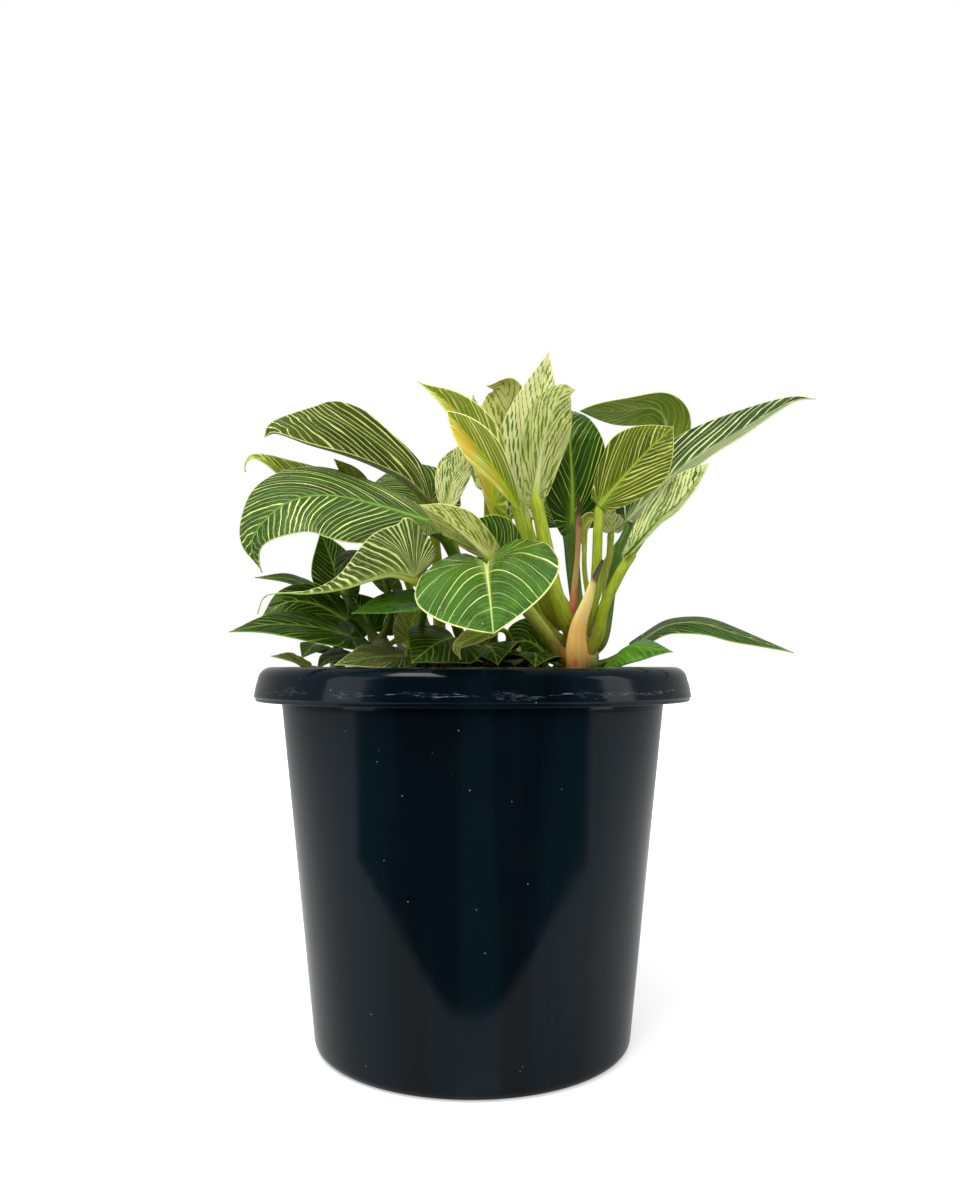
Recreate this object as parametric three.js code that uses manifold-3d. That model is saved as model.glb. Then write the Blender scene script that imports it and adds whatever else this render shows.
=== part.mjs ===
// Potted philodendron: a rolled-rim nursery pot filled with potting mix, the short crowns that stand
// in the mix, and on each crown its stalked leaves and the papery sheaths that some leaves grew out of.
// Millimetres, +Z up, origin at the middle of the pot's underside. -Y is the side seen from the front.

import * as THREE from "three";
import { mergeVertices } from "three/addons/utils/BufferGeometryUtils.js";
import Module from "manifold-3d";

const wasm = await Module();
wasm.setup();

// ---- driving dimensions -------------------------------------------------------------------------

const GAP = 0.35; // left between pieces that touch
const SIDES = 40; // facets round the pot

const POT = {
  height: 212,
  rimRadius: 125,
  rimDepth: 19,
  rimLean: 1.5, // how far the rim draws in from its lower edge to its top
  rimRound: 8,
  lip: 2, // rounding of the rim's inner edge
  shoulderRadius: 110, // outside of the wall, straight under the rim
  baseRadius: 89,
  footRound: 5,
  wall: 2.4,
  floor: 3,
  drainHoles: 8,
  drainRadius: 5,
  drainCircle: 66,
  drainSides: 8,
};

const SOIL = { edgeBelowRim: 9, moundBelowRim: 4, moundRadius: 65, moundEdge: 1.5 };
const SOIL_TOP = POT.height - SOIL.moundBelowRim;

const BLADE = {
  thickness: 0.8,
  tipHalfWidth: 0.5,
  widest: 0.2, // share of the midrib from which the longest side vein leaves
  taper: 1.2, // how sharply the blade narrows to its tip
  heel: 0.05, // keeps some width at the very base of the blade
  lobe: 0.1, // how far the heart's lobes reach back, as a share of the blade's length
  lobeFade: 4, // how soon the lobes fade along the midrib
  lobeTurn: 0.75 * Math.PI, // how the lobes round off towards the margin
  sweep: 0.2, // how far the side veins run forward, as a share of the length
  sweepFrom: 0.25, // share of the midrib by which the sweep has grown to its full size
  waves: 3, // waves along a margin that has them
  waveShift: 0.37, // by which the two margins' waves differ
  frames: 16, // steps in which the blade's face is carried along the midrib
  columns: 4,
  rows: 4,
  largeRows: 6,
  largeFrom: 2400, // width times length from which a blade is a large one
  crowding: 1.15, // over 1 sets the rows closer together near the base
  probe: 0.01, // share of the blade over which its slope is taken
};

const STALK = {
  sides: 5,
  steps: 4,
  arch: 0.06, // rise of a plain stalk, as a share of its length
  ribReach: 0.3, // share of the blade along which the stalk runs on as its midrib
  ribTip: 0.6,
  ribSink: 0.7, // how deep the midrib hangs under the blade, in its own radii
};

// Each crown: where its axis stands, its radius, how far it rises above the mix and leans on the way.
const CROWNS = {
  right: { at: [63, -8], radius: 11, rise: 36, lean: [0, 3] },
  middle: { at: [8, 30], radius: 10, rise: 30, lean: [0, 4] },
  rear: { at: [-20, 46], radius: 7.5, rise: 24, lean: [-1, 1] },
  left: { at: [-52, -10], radius: 7, rise: 22, lean: [-1, -1] },
  low: { at: [-34, -30], radius: 5, rise: 14, lean: [-1, 1] },
  edge: { at: [-80, 8], radius: 5, rise: 13, lean: [-1, 0] },
  shoot: { at: [24, -16], radius: 4.5, rise: 16, lean: [1, 1] },
};

// Down a crown from its top: height as a share of its rise, or of its depth below the mix, and girth.
const CROWN = {
  depth: 60,
  sides: 8,
  below: [[-1, 0.7], [-0.5, 1]],
  above: [[0, 1], [0.5, 0.9], [0.85, 0.72], [1, 0.45]],
};

const SHEATH_SIDES = 8;

// ---- leaves -------------------------------------------------------------------------------------
// Each leaf: the crown that it grows from and the height of its foot above the mix; the points that
// its stalk bends through and the stalk's radius; the points that its midrib runs through, from stalk
// to tip; the blade's width; the way its upper face looks at half length; the fold at the midrib and
// the further curl out to the margin, for the left and the right half as seen on that face with the
// tip up, in degrees. twist turns the tip against the base, and wave is the rise of its waving margins.
// lobe, widest, taper and sweep, where a leaf has them, replace those of BLADE. hue names its colouring.

const LEAVES = [
  // right crown, from the middle of the plant to the right
  {
    name: "heart_front", crown: "right", hue: "mid", foot: 7, stalk: [4.8, 3.2],
    bends: [[50, -20, 219], [42, -34, 228], [30, -62, 241], [15, -86, 256]],
    midrib: [[7, -88, 264], [7, -108, 257], [8, -132, 243], [9, -154, 227]],
    width: 71, lobe: 0.3, widest: 0.35, taper: 0.6, face: [-0.12, -0.5, 0.87], fold: [26, 12],
    curl: [-25, -25],
  },
  {
    name: "rolled_near", crown: "right", hue: "lime", foot: 23, stalk: [3.6, 3.2],
    bends: [[46, -14, 241], [38, -21, 257], [30, -28, 283]],
    midrib: [[24, -34, 303], [15, -44, 316], [5, -52, 328], [-5, -58, 339], [-14, -61, 349]],
    width: 27, widest: 0.52, taper: 1, face: [-0.35, -0.9, 0], fold: [65, 20], curl: [0, 10],
  },
  {
    name: "rolled_far", crown: "right", hue: "lime", foot: 16, stalk: [3.4, 3],
    bends: [[47, -2, 231], [33, -1, 255], [18, -7, 285]],
    midrib: [[12, -12, 307], [8, -15, 326], [0, -20, 345], [-13, -29, 361], [-31, -40, 371]],
    width: 31, widest: 0.3, taper: 1.4, face: [-0.2, -0.95, 0.2], fold: [60, 20], curl: [0, 0],
  },
  {
    name: "hooded", crown: "right", hue: "pale", foot: 26, stalk: [2.8, 2.4],
    bends: [[51, 7, 248], [38, 16, 268], [23, 22, 297]],
    midrib: [[18, 24, 327], [21, 24, 359], [19, 14, 383], [8, 2, 380]],
    width: 44, face: [-0.1, -0.95, 0.1], fold: [10, 10], curl: [-10, -10],
  },
  {
    name: "tall_cream", crown: "right", hue: "pale", foot: 27, stalk: [3.2, 3],
    bends: [[52, -8, 250], [42, -10, 268], [33, -9, 290]],
    midrib: [[30, -6, 307], [33, -8, 336], [39, -12, 367], [44, -18, 395]],
    width: 38, widest: 0.3, face: [-0.35, -0.9, 0.1], fold: [24, 20], curl: [-10, 0],
  },
  {
    name: "cream_underside", crown: "right", hue: "pale", foot: 17, stalk: [5.6, 3.4],
    bends: [[55, -25, 234], [46, -35, 252], [40, -39, 280]],
    midrib: [[35, -39, 306], [38, -44, 330], [43, -50, 351], [50, -52, 362], [56, -48, 364]],
    width: 27, widest: 0.42, taper: 1, face: [0.1, 1, 0.05], fold: [12, 12], curl: [0, 0],
    wave: 1.2,
  },
  {
    name: "dark_upright", crown: "right", hue: "dark", foot: 33, stalk: [3, 2.8],
    bends: [[61, -1, 260]],
    midrib: [[59, 0, 298], [59, 0, 323], [58, 3, 350], [60, 12, 364], [64, 28, 371]],
    width: 42, widest: 0.34, face: [0.05, -1, 0.1], fold: [6, 6], curl: [-10, -10],
  },
  {
    name: "back_arch", crown: "right", hue: "mid", foot: 25, stalk: [3, 2.4],
    bends: [[73, 12, 252], [86, 38, 280], [110, 46, 312]],
    midrib: [[122, 46, 345], [124, 44, 366], [115, 38, 376], [92, 34, 373], [67, 30, 372]],
    width: 40, widest: 0.34, taper: 0.9, face: [0.1, 0.3, 0.93], fold: [10, 10], curl: [-30, -30],
  },
  {
    name: "square_lime", crown: "right", hue: "olive", foot: 18, stalk: [3, 2.8],
    bends: [[68, -22, 245], [70, -26, 270]],
    midrib: [[71, -28, 303], [84, -34, 318], [97, -39, 332], [111, -42, 345]],
    width: 39, lobe: 0, widest: 0.42, taper: 1, face: [0, -0.95, 0.3], fold: [4, 4], curl: [0, 0],
  },
  {
    name: "pale_between", crown: "right", hue: "pale", foot: 18, stalk: [2.3, 2],
    bends: [[76, 4, 242], [82, 17, 270]],
    midrib: [[86, 27, 296], [86, 31, 315], [88, 33, 337]],
    width: 30, lobe: 0.04, widest: 0.35, face: [0.06, -1, 0.1], fold: [10, 14], curl: [-5, 0],
  },
  {
    name: "long_right", crown: "right", hue: "dark", foot: 12, stalk: [3.8, 3],
    bends: [[75, -6, 228], [82, 0, 262]],
    midrib: [[92, 6, 299], [125, 3, 331], [157, -4, 351], [186, -10, 367], [201, -12, 369]],
    width: 48, lobe: 0, widest: 0.25, face: [-0.5, -0.15, 0.85], fold: [38, -6], curl: [0, 0],
  },
  {
    name: "cream_right", crown: "right", hue: "pale", foot: 8, stalk: [3.8, 2.8],
    bends: [[71, -20, 229], [75, -25, 248]],
    midrib: [[89, -32, 277], [103, -37, 293], [115, -41, 304], [130, -45, 324]],
    width: 27, widest: 0.45, taper: 1, face: [-0.2, -0.95, 0.2], fold: [5, 62], curl: [0, 0],
    wave: 1,
  },
  {
    name: "arch_right", crown: "right", hue: "plain", foot: 4, stalk: [2.8, 2],
    bends: [[80, -12, 216]],
    midrib: [[98, -12, 228], [112, -16, 236], [129, -21, 237], [150, -27, 230], [178, -34, 220]],
    width: 28, widest: 0.25, face: [0, -0.2, 0.97], fold: [6, -12], curl: [0, -10],
  },
  {
    name: "glossy_right", crown: "right", hue: "plain", foot: 2, stalk: [2.6, 2],
    bends: [[73, -24, 213]],
    midrib: [[75, -42, 216], [82, -56, 223], [93, -66, 222], [103, -74, 220]],
    width: 30, face: [0, -0.7, 0.7], fold: [-20, -5], curl: [0, -20],
  },
  // middle crown, behind, reaching left and forward
  {
    name: "tip_behind", crown: "middle", hue: "lime", foot: 28, stalk: [2.4, 2],
    bends: [[9, 38, 280]],
    midrib: [[9, 34, 331], [4, 30, 358], [0, 26, 381]],
    width: 22, face: [-0.1, -0.9, 0.2], fold: [15, 15], curl: [0, 0],
  },
  {
    name: "pale_middle", crown: "middle", hue: "pale", foot: 22, stalk: [2.6, 2.2],
    bends: [[-2, 22, 258], [-11, 2, 284]],
    midrib: [[-15, -12, 304], [-12, -13, 319], [-7, -12, 333], [-3, -10, 344]],
    width: 23, widest: 0.4, face: [-0.3, -0.9, 0.1], fold: [15, 15], curl: [0, 0],
  },
  {
    name: "underside_front", crown: "middle", hue: "pale", foot: 7, stalk: [2.8, 2.4],
    bends: [[12, -8, 230], [10, -46, 244]],
    midrib: [[9, -70, 270], [-4, -78, 280], [-17, -84, 289], [-27, -88, 294]],
    width: 24, widest: 0.35, face: [0.3, 0.8, 0.6], fold: [20, 20], curl: [-20, 0],
  },
  {
    name: "dark_middle", crown: "middle", hue: "dark", foot: 18, stalk: [2.8, 2.4],
    bends: [[16, 8, 240], [20, -22, 254]],
    midrib: [[18, -46, 266], [11, -54, 282], [-2, -60, 290]],
    width: 34, face: [-0.1, -0.8, 0.6], fold: [10, 10], curl: [-20, -20],
  },
  {
    name: "big_left", crown: "middle", hue: "dark", foot: 16, stalk: [3.6, 3],
    bends: [[0, 14, 238], [-5, -8, 260], [-14, -30, 281]],
    midrib: [[-25, -48, 292], [-50, -62, 298], [-74, -75, 301], [-92, -83, 297], [-104, -88, 287],
      [-111, -90, 274], [-107, -84, 260]],
    width: 76, widest: 0.38, taper: 1.65, sweep: 0.12, face: [-0.1, -0.6, 0.8], fold: [-8, 8],
    curl: [-12, -12], twist: 10,
  },
  {
    name: "folded_upper_left", crown: "rear", hue: "olive", foot: 22, stalk: [3.4, 2.8],
    bends: [[-21, 28, 266]],
    midrib: [[-25, 2, 308], [-40, -6, 321], [-55, -12, 328], [-74, -18, 334], [-94, -22, 339],
      [-112, -24, 345], [-119, -24, 343]],
    width: 71, widest: 0.5, taper: 1.05, face: [-0.15, -0.9, 0.4], fold: [60, 5], curl: [0, -12],
  },
  {
    name: "hook_far_left", crown: "rear", hue: "lime", foot: 12, stalk: [2.6, 2],
    bends: [[-36, 40, 252], [-46, 24, 280]],
    midrib: [[-60, 10, 306], [-84, 0, 315], [-106, -8, 324], [-119, -14, 331], [-127, -17, 333],
      [-131, -18, 329], [-131, -18, 324]],
    width: 24, widest: 0.3, taper: 1.9, face: [0, -0.8, 0.6], fold: [15, 15], curl: [0, 0],
  },
  {
    name: "curled_left", crown: "middle", hue: "mid", foot: 11, stalk: [3.4, 2.8],
    bends: [[-6, 12, 228], [-12, -24, 244], [-20, -62, 254]],
    midrib: [[-29, -90, 257], [-41, -100, 258], [-62, -110, 250], [-78, -116, 247], [-90, -119, 247],
      [-98, -121, 245], [-101, -121, 237]],
    width: 72, lobe: 0.2, widest: 0.1, taper: 3.6, sweep: -0.15, face: [0, -0.98, 0.2],
    fold: [-138, 0], curl: [-10, -10],
  },
  {
    name: "striped_low", crown: "low", hue: "dark", foot: 5, stalk: [2.6, 2],
    bends: [[-22, -38, 218], [-12, -50, 224]],
    midrib: [[-10, -60, 228], [-19, -74, 224], [-31, -84, 214]],
    width: 42, face: [-0.1, -0.8, 0.6], fold: [4, 4], curl: [-20, -20],
  },
  {
    name: "curl_under_heart", crown: "shoot", hue: "lime", foot: 10, stalk: [1.7, 1.4],
    bends: [[20, -34, 229], [16, -52, 232]],
    midrib: [[9, -70, 231], [-2, -80, 226], [-8, -84, 222], [-6, -85, 216]],
    width: 12, face: [0, -0.7, 0.7], fold: [10, 10], curl: [0, 0],
  },
  {
    name: "dark_low_middle", crown: "shoot", hue: "dark", foot: 6, stalk: [2.2, 1.8],
    bends: [[14, -20, 217]],
    midrib: [[7, -28, 220], [7, -44, 224], [11, -58, 220], [13, -66, 213]],
    width: 40, face: [0, -0.7, 0.7], fold: [5, 5], curl: [-25, -25],
  },
  {
    name: "dark_low_right", crown: "shoot", hue: "dark", foot: 3, stalk: [2.2, 1.8],
    bends: [[28, -20, 214]],
    midrib: [[31, -26, 217], [33, -38, 220], [34, -50, 218], [33, -58, 212]],
    width: 34, face: [0.1, -0.7, 0.7], fold: [5, 5], curl: [-25, -25],
  },
  // left crown, low
  {
    name: "upright_small", crown: "left", hue: "olive", foot: 18, stalk: [2.2, 1.9],
    bends: [[-64, -14, 238]],
    midrib: [[-74, -22, 254], [-79, -26, 270], [-86, -28, 289]],
    width: 28, face: [-0.3, -0.9, 0.2], fold: [12, 12], curl: [0, 0],
  },
  {
    name: "dark_round", crown: "left", hue: "dark", foot: 20, stalk: [2.2, 1.9],
    bends: [[-47, -20, 240]],
    midrib: [[-46, -34, 256], [-55, -46, 273], [-67, -56, 270], [-73, -62, 258]],
    width: 34, face: [-0.5, -0.6, 0.6], fold: [5, 5], curl: [-20, -20],
  },
  {
    name: "narrow_left", crown: "edge", hue: "dark", foot: 11, stalk: [2, 1.6],
    bends: [[-81, 2, 232]],
    midrib: [[-80, -4, 244], [-90, -12, 256], [-104, -22, 262], [-122, -30, 262]],
    width: 18, face: [0, -0.6, 0.8], fold: [5, 5], curl: [-20, -20],
  },
  {
    name: "fan_left_upper", crown: "left", hue: "dark", foot: 10, stalk: [2.2, 1.8],
    bends: [[-62, -24, 227]],
    midrib: [[-70, -36, 238], [-85, -44, 246], [-100, -50, 247], [-113, -54, 239]],
    width: 32, face: [-0.1, -0.8, 0.6], fold: [6, 6], curl: [-20, -20],
  },
  {
    name: "fan_left_lower", crown: "left", hue: "dark", foot: 7, stalk: [2.2, 1.8],
    bends: [[-57, -28, 222]],
    midrib: [[-66, -52, 229], [-83, -66, 233], [-103, -74, 234], [-124, -80, 230]],
    width: 33, face: [-0.05, -0.55, 0.83], fold: [6, 6], curl: [-15, -15],
  },
  {
    name: "plain_left", crown: "low", hue: "plain", foot: 11, stalk: [2, 1.8],
    bends: [[-29, -46, 230]],
    midrib: [[-24, -74, 246], [-43, -82, 243], [-61, -88, 239]],
    width: 28, face: [-0.1, -0.6, 0.8], fold: [14, 0], curl: [0, 0],
  },
  {
    name: "dark_fan_middle", crown: "left", hue: "dark", foot: 14, stalk: [2.2, 1.8],
    bends: [[-59, -5, 228]],
    midrib: [[-60, -4, 233], [-64, -6, 243], [-72, -8, 256]],
    width: 26, face: [-0.2, -0.9, 0.2], fold: [8, 8], curl: [-10, -10],
  },
  {
    name: "olive_small", crown: "left", hue: "olive", foot: 14, stalk: [1.8, 1.4],
    bends: [[-44, -10, 228]],
    midrib: [[-44, -8, 232], [-45, -8, 240], [-47, -8, 248]],
    width: 15, face: [0, -0.9, 0.3], fold: [8, 8], curl: [0, 0],
  },
  {
    name: "pale_low", crown: "low", hue: "pale", foot: 10, stalk: [2, 1.8],
    midrib: [[-36, -26, 227], [-34, -24, 238], [-31, -22, 252]],
    width: 20, face: [0, -0.9, 0.3], fold: [8, 8], curl: [0, 0],
  },
  {
    name: "olive_low_left", crown: "low", hue: "olive", foot: 4, stalk: [1.9, 1.6],
    midrib: [[-38, -54, 218], [-53, -70, 217], [-71, -78, 213]],
    width: 26, face: [0, -0.6, 0.8], fold: [10, 10], curl: [-20, -20],
  },
  {
    name: "dark_low_left", crown: "low", hue: "dark", foot: 7, stalk: [2, 1.8],
    bends: [[-46, -34, 214]],
    midrib: [[-56, -40, 214], [-66, -48, 219], [-76, -56, 217], [-82, -62, 211]],
    width: 26, face: [-0.4, -0.6, 0.7], fold: [6, 6], curl: [-20, -20],
  },
  {
    name: "round_low_left", crown: "edge", hue: "dark", foot: 6, stalk: [1.9, 1.6],
    midrib: [[-84, -4, 220], [-90, -14, 225], [-97, -21, 217]],
    width: 28, face: [-0.3, -0.6, 0.7], fold: [6, 6], curl: [-20, -20],
  },
  {
    name: "pale_tip_low", crown: "edge", hue: "lime", foot: 2, stalk: [1.6, 1.4],
    bends: [[-88, -12, 211]],
    midrib: [[-91, -30, 212], [-100, -40, 216], [-109, -47, 218]],
    width: 13, face: [0, -0.6, 0.8], fold: [15, 15], curl: [0, 0],
  },
  {
    name: "green_hook", crown: "right", hue: "lime", foot: 28, stalk: [1.8, 1.4],
    bends: [[67, -11, 247], [65, -9, 268]],
    midrib: [[65, -9, 283], [64, -10, 292], [68, -11, 299], [75, -12, 296]],
    width: 8, widest: 0.4, face: [0, -1, 0.1], fold: [30, 30], curl: [0, 0],
  },
  {
    name: "pale_tip_left", crown: "rear", hue: "lime", foot: 8, stalk: [2.2, 1.6],
    bends: [[-34, 30, 246], [-48, 4, 288]],
    midrib: [[-56, -8, 306], [-68, -10, 320], [-81, -12, 333]],
    width: 13, widest: 0.4, face: [0, -0.8, 0.6], fold: [10, 10], curl: [0, 0],
  },
  {
    name: "dark_behind_left", crown: "middle", hue: "dark", foot: 2, stalk: [2.2, 1.8],
    bends: [[2, 12, 214]],
    midrib: [[-2, 2, 219], [-8, -12, 226], [-13, -26, 223], [-16, -38, 214]],
    width: 38, face: [0, -0.7, 0.7], fold: [5, 5], curl: [-15, -15],
  },
  {
    name: "dark_behind_right", crown: "right", hue: "dark", foot: 2, stalk: [2.2, 1.8],
    bends: [[50, 0, 214]],
    midrib: [[45, 1, 217], [37, 0, 225], [28, -2, 227], [19, -3, 219]],
    width: 33, face: [0, -0.9, 0.3], fold: [5, 5], curl: [-10, -10],
  },
  // the far side
  {
    name: "back_tall", crown: "right", hue: "mid", foot: 19, stalk: [3, 2.6],
    bends: [[63, 15, 242], [61, 34, 272]],
    midrib: [[60, 50, 302], [60, 68, 328], [58, 92, 345], [54, 112, 343]],
    width: 50, lobe: 0.03, face: [0, -0.6, 0.8], fold: [10, 10], curl: [-20, -20],
  },
  {
    name: "back_left_high", crown: "rear", hue: "dark", foot: 12, stalk: [3.2, 2.6],
    bends: [[-23, 60, 248], [-24, 61, 290]],
    midrib: [[-26, 62, 316], [-37, 70, 332], [-56, 82, 340], [-77, 96, 330]],
    width: 52, face: [-0.2, -0.5, 0.85], fold: [8, 8], curl: [-20, -20],
  },
  {
    name: "back_over_rim", crown: "middle", hue: "mid", foot: 14, stalk: [3, 2.6],
    midrib: [[8, 66, 254], [6, 92, 262], [2, 120, 255], [-2, 142, 240]],
    width: 56, face: [0, 0.4, 0.9], fold: [8, 8], curl: [-20, -20],
  },
  {
    name: "back_right", crown: "right", hue: "dark", foot: 10, stalk: [3, 2.4],
    bends: [[65, 16, 232]],
    midrib: [[66, 40, 244], [66, 72, 254], [62, 104, 248], [58, 126, 234]],
    width: 48, face: [0.1, 0.4, 0.9], fold: [8, 8], curl: [-20, -20],
  },
  {
    name: "back_left", crown: "edge", hue: "dark", foot: 7, stalk: [2.4, 2],
    midrib: [[-80, 30, 232], [-86, 54, 241], [-92, 78, 238], [-96, 94, 228]],
    width: 42, face: [-0.2, 0.3, 0.93], fold: [8, 8], curl: [-20, -20],
  },
  {
    name: "back_low", crown: "rear", hue: "olive", foot: 3, stalk: [2.4, 2],
    midrib: [[-26, 66, 222], [-34, 88, 229], [-44, 110, 226], [-50, 124, 217]],
    width: 38, face: [-0.1, 0.4, 0.9], fold: [8, 8], curl: [-20, -20],
  },
];

// The papery sheaths of past leaves: each rises from a crown through its points as a flat half tube.
const SHEATHS = [
  {
    name: "big", crown: "right", hue: "sheath", foot: 2, flat: 0.4,
    points: [[58, -33, 214], [58, -37, 232], [64, -34, 249], [68, -32, 261], [73, -30, 272]],
    radii: [9.5, 9.5, 8.6, 5.6, 3.4, 1],
  },
  {
    name: "red", crown: "right", hue: "blush", foot: 24, flat: 0.6,
    points: [[57, -20, 240], [58, -19, 256], [60, -18, 276], [61, -17, 297], [61, -17, 311]],
    radii: [2.6, 2.6, 2.1, 1.7, 1.8, 0.6],
  },
];

// ---- colours ------------------------------------------------------------------------------------

const finish = (color, roughness) => new THREE.MeshStandardMaterial({ color, roughness, metalness: 0 });
const FINISH = {
  pot: finish(0x10202a, 0.3),
  soil: finish(0x2b2019, 0.95),
  crown: finish(0x6d6a35, 0.7),
  dark: finish(0x24451f, 0.45),
  mid: finish(0x3f6a24, 0.45),
  olive: finish(0x6c7a2c, 0.5),
  lime: finish(0x8c9a3a, 0.5),
  pale: finish(0xb9bd76, 0.5),
  plain: finish(0x3c7a22, 0.4),
  sheath: finish(0xc79a52, 0.6),
  blush: finish(0xb9694a, 0.6),
};

// ---- solids -------------------------------------------------------------------------------------

const vector = (p) => new THREE.Vector3(...p);

function toSolid(geometry) {
  const bare = new THREE.BufferGeometry()
    .setAttribute("position", geometry.getAttribute("position").clone())
    .setIndex(geometry.index);
  const merged = mergeVertices(bare, 1e-4);
  return new wasm.Manifold(
    new wasm.Mesh({
      numProp: 3,
      vertProperties: merged.attributes.position.array,
      triVerts: new Uint32Array(merged.index.array),
    }),
  );
}

function toGeometry(solid) {
  const mesh = solid.getMesh();
  const geometry = new THREE.BufferGeometry()
    .setAttribute("position", new THREE.BufferAttribute(new Float32Array(mesh.vertProperties), 3))
    .setIndex(new THREE.BufferAttribute(new Uint32Array(mesh.triVerts), 1));
  geometry.computeVertexNormals();
  return geometry;
}

function closedMesh(points, faces) {
  return new THREE.BufferGeometry()
    .setAttribute("position", new THREE.Float32BufferAttribute(points.flatMap((p) => [p.x, p.y, p.z]), 3))
    .setIndex(faces);
}

// A bar of changing radius along a line of stations, each with a point and a radius. Stations with
// flat under 1 are thinner from front to back.
function bar(stations, sides) {
  const path = new THREE.CatmullRomCurve3(stations.map((s) => s.point));
  const frames = path.computeFrenetFrames(stations.length - 1, false);
  if (stations[0].flat) faceFront(frames);
  const points = [];
  stations.forEach(({ point, radius, flat = 1 }, i) => {
    for (let k = 0; k < sides; k++) {
      const turn = (2 * Math.PI * k) / sides;
      const corner = point.clone().addScaledVector(frames.normals[i], radius * Math.cos(turn) * flat);
      points.push(corner.addScaledVector(frames.binormals[i], radius * Math.sin(turn)));
    }
  });
  const faces = [];
  for (let i = 0; i + 1 < stations.length; i++)
    for (let k = 0; k < sides; k++) {
      const a = i * sides + k;
      const b = i * sides + ((k + 1) % sides);
      faces.push(a, b, b + sides, a, b + sides, a + sides);
    }
  const last = (stations.length - 1) * sides;
  for (let k = 1; k + 1 < sides; k++) faces.push(0, k + 1, k, last, last + k, last + k + 1);
  return closedMesh(points, faces);
}

// Turns each frame about its tangent until its normal looks to the back, along +Y.
function faceFront(frames) {
  const back = new THREE.Vector3(0, 1, 0);
  frames.tangents.forEach((tangent, i) => {
    frames.normals[i].copy(back).addScaledVector(tangent, -back.dot(tangent)).normalize();
    frames.binormals[i].crossVectors(tangent, frames.normals[i]);
  });
}

// ---- pot and mix --------------------------------------------------------------------------------

function lathe(outline) {
  const points = outline.map(([radius, z]) => new THREE.Vector2(radius, z));
  return new THREE.LatheGeometry([...points, points[0]], SIDES).rotateX(Math.PI / 2);
}

const rimUnderside = POT.height - POT.rimDepth;
const innerShoulder = POT.shoulderRadius - POT.wall;

function wallRadius(z) {
  return THREE.MathUtils.mapLinear(z, 0, rimUnderside, POT.baseRadius, POT.shoulderRadius);
}

// The rim is a band that turns over outwards and hangs down round the wall, open underneath.
function potSolid() {
  const { height, shoulderRadius, rimRadius, rimRound, footRound, wall, floor, lip } = POT;
  const rimTop = rimRadius - POT.rimLean;
  const bevel = (round) => round * 0.3;
  return toSolid(
    lathe([
      [0, 0],
      [POT.baseRadius - footRound, 0],
      [wallRadius(bevel(footRound)) - bevel(footRound), bevel(footRound)],
      [wallRadius(footRound), footRound],
      [shoulderRadius, rimUnderside],
      [shoulderRadius, height - 2 * wall],
      [rimTop - wall, height - 2 * wall],
      [rimRadius - wall, rimUnderside],
      [rimRadius, rimUnderside],
      [rimTop, height - rimRound],
      [rimTop - bevel(rimRound), height - bevel(rimRound)],
      [rimTop - rimRound, height],
      [innerShoulder + lip, height],
      [innerShoulder, height - lip],
      [innerShoulder, rimUnderside],
      [wallRadius(floor) - wall, floor],
      [0, floor],
    ]),
  );
}

function drainHoles(solid) {
  let drained = solid;
  for (let i = 0; i < POT.drainHoles; i++) {
    const turn = (2 * Math.PI * i) / POT.drainHoles;
    const plug = new THREE.CylinderGeometry(POT.drainRadius, POT.drainRadius, POT.floor * 4, POT.drainSides)
      .rotateX(Math.PI / 2)
      .translate(POT.drainCircle * Math.cos(turn), POT.drainCircle * Math.sin(turn), 0);
    drained = drained.subtract(toSolid(plug));
  }
  return drained;
}

// The mix fills the pot up to a low mound. extra raises its top.
function soilSolid(extra = 0) {
  const edge = POT.height - SOIL.edgeBelowRim + extra;
  const bottom = POT.floor + GAP;
  const inside = (z) => wallRadius(z) - POT.wall - GAP;
  return toSolid(
    lathe([
      [0, bottom],
      [inside(bottom), bottom],
      [inside(rimUnderside), rimUnderside],
      [innerShoulder - GAP, edge],
      [SOIL.moundRadius, SOIL_TOP + extra - SOIL.moundEdge],
      [0, SOIL_TOP + extra],
    ]),
  );
}

// ---- crowns -------------------------------------------------------------------------------------

function crownPoint({ at, lean, rise }, height) {
  const share = Math.max(height, 0) / rise;
  return new THREE.Vector3(at[0] + lean[0] * share, at[1] + lean[1] * share, SOIL_TOP + height);
}

// A short stem, sunk in the mix and narrowing to its growing tip. extra makes it larger all round.
function crownSolid(crown, extra = 0) {
  const rings = [
    ...CROWN.below.map(([share, girth]) => [share * CROWN.depth - extra, girth]),
    ...CROWN.above.map(([share, girth]) => [share * (crown.rise + extra), girth]),
  ];
  const stations = rings.map(([height, girth]) => ({
    point: crownPoint(crown, height),
    radius: crown.radius * girth + extra,
  }));
  return toSolid(bar(stations, CROWN.sides));
}

// ---- blades -------------------------------------------------------------------------------------

// The midrib as a smooth line, with the blade's face carried along it without turning.
function midribOf(leaf) {
  const line = new THREE.CatmullRomCurve3(leaf.midrib.map(vector), false, "catmullrom", 0.5);
  const n = BLADE.frames;
  const tangents = Array.from({ length: n + 1 }, (_, i) => line.getTangentAt(i / n));
  const faces = [];
  const flatten = (face, tangent) => face.clone().addScaledVector(tangent, -face.dot(tangent)).normalize();
  faces[n / 2] = flatten(vector(leaf.face), tangents[n / 2]);
  for (let i = n / 2 + 1; i <= n; i++) faces[i] = flatten(faces[i - 1], tangents[i]);
  for (let i = n / 2 - 1; i >= 0; i--) faces[i] = flatten(faces[i + 1], tangents[i]);
  return { line, faces, length: line.getLength() };
}

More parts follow.
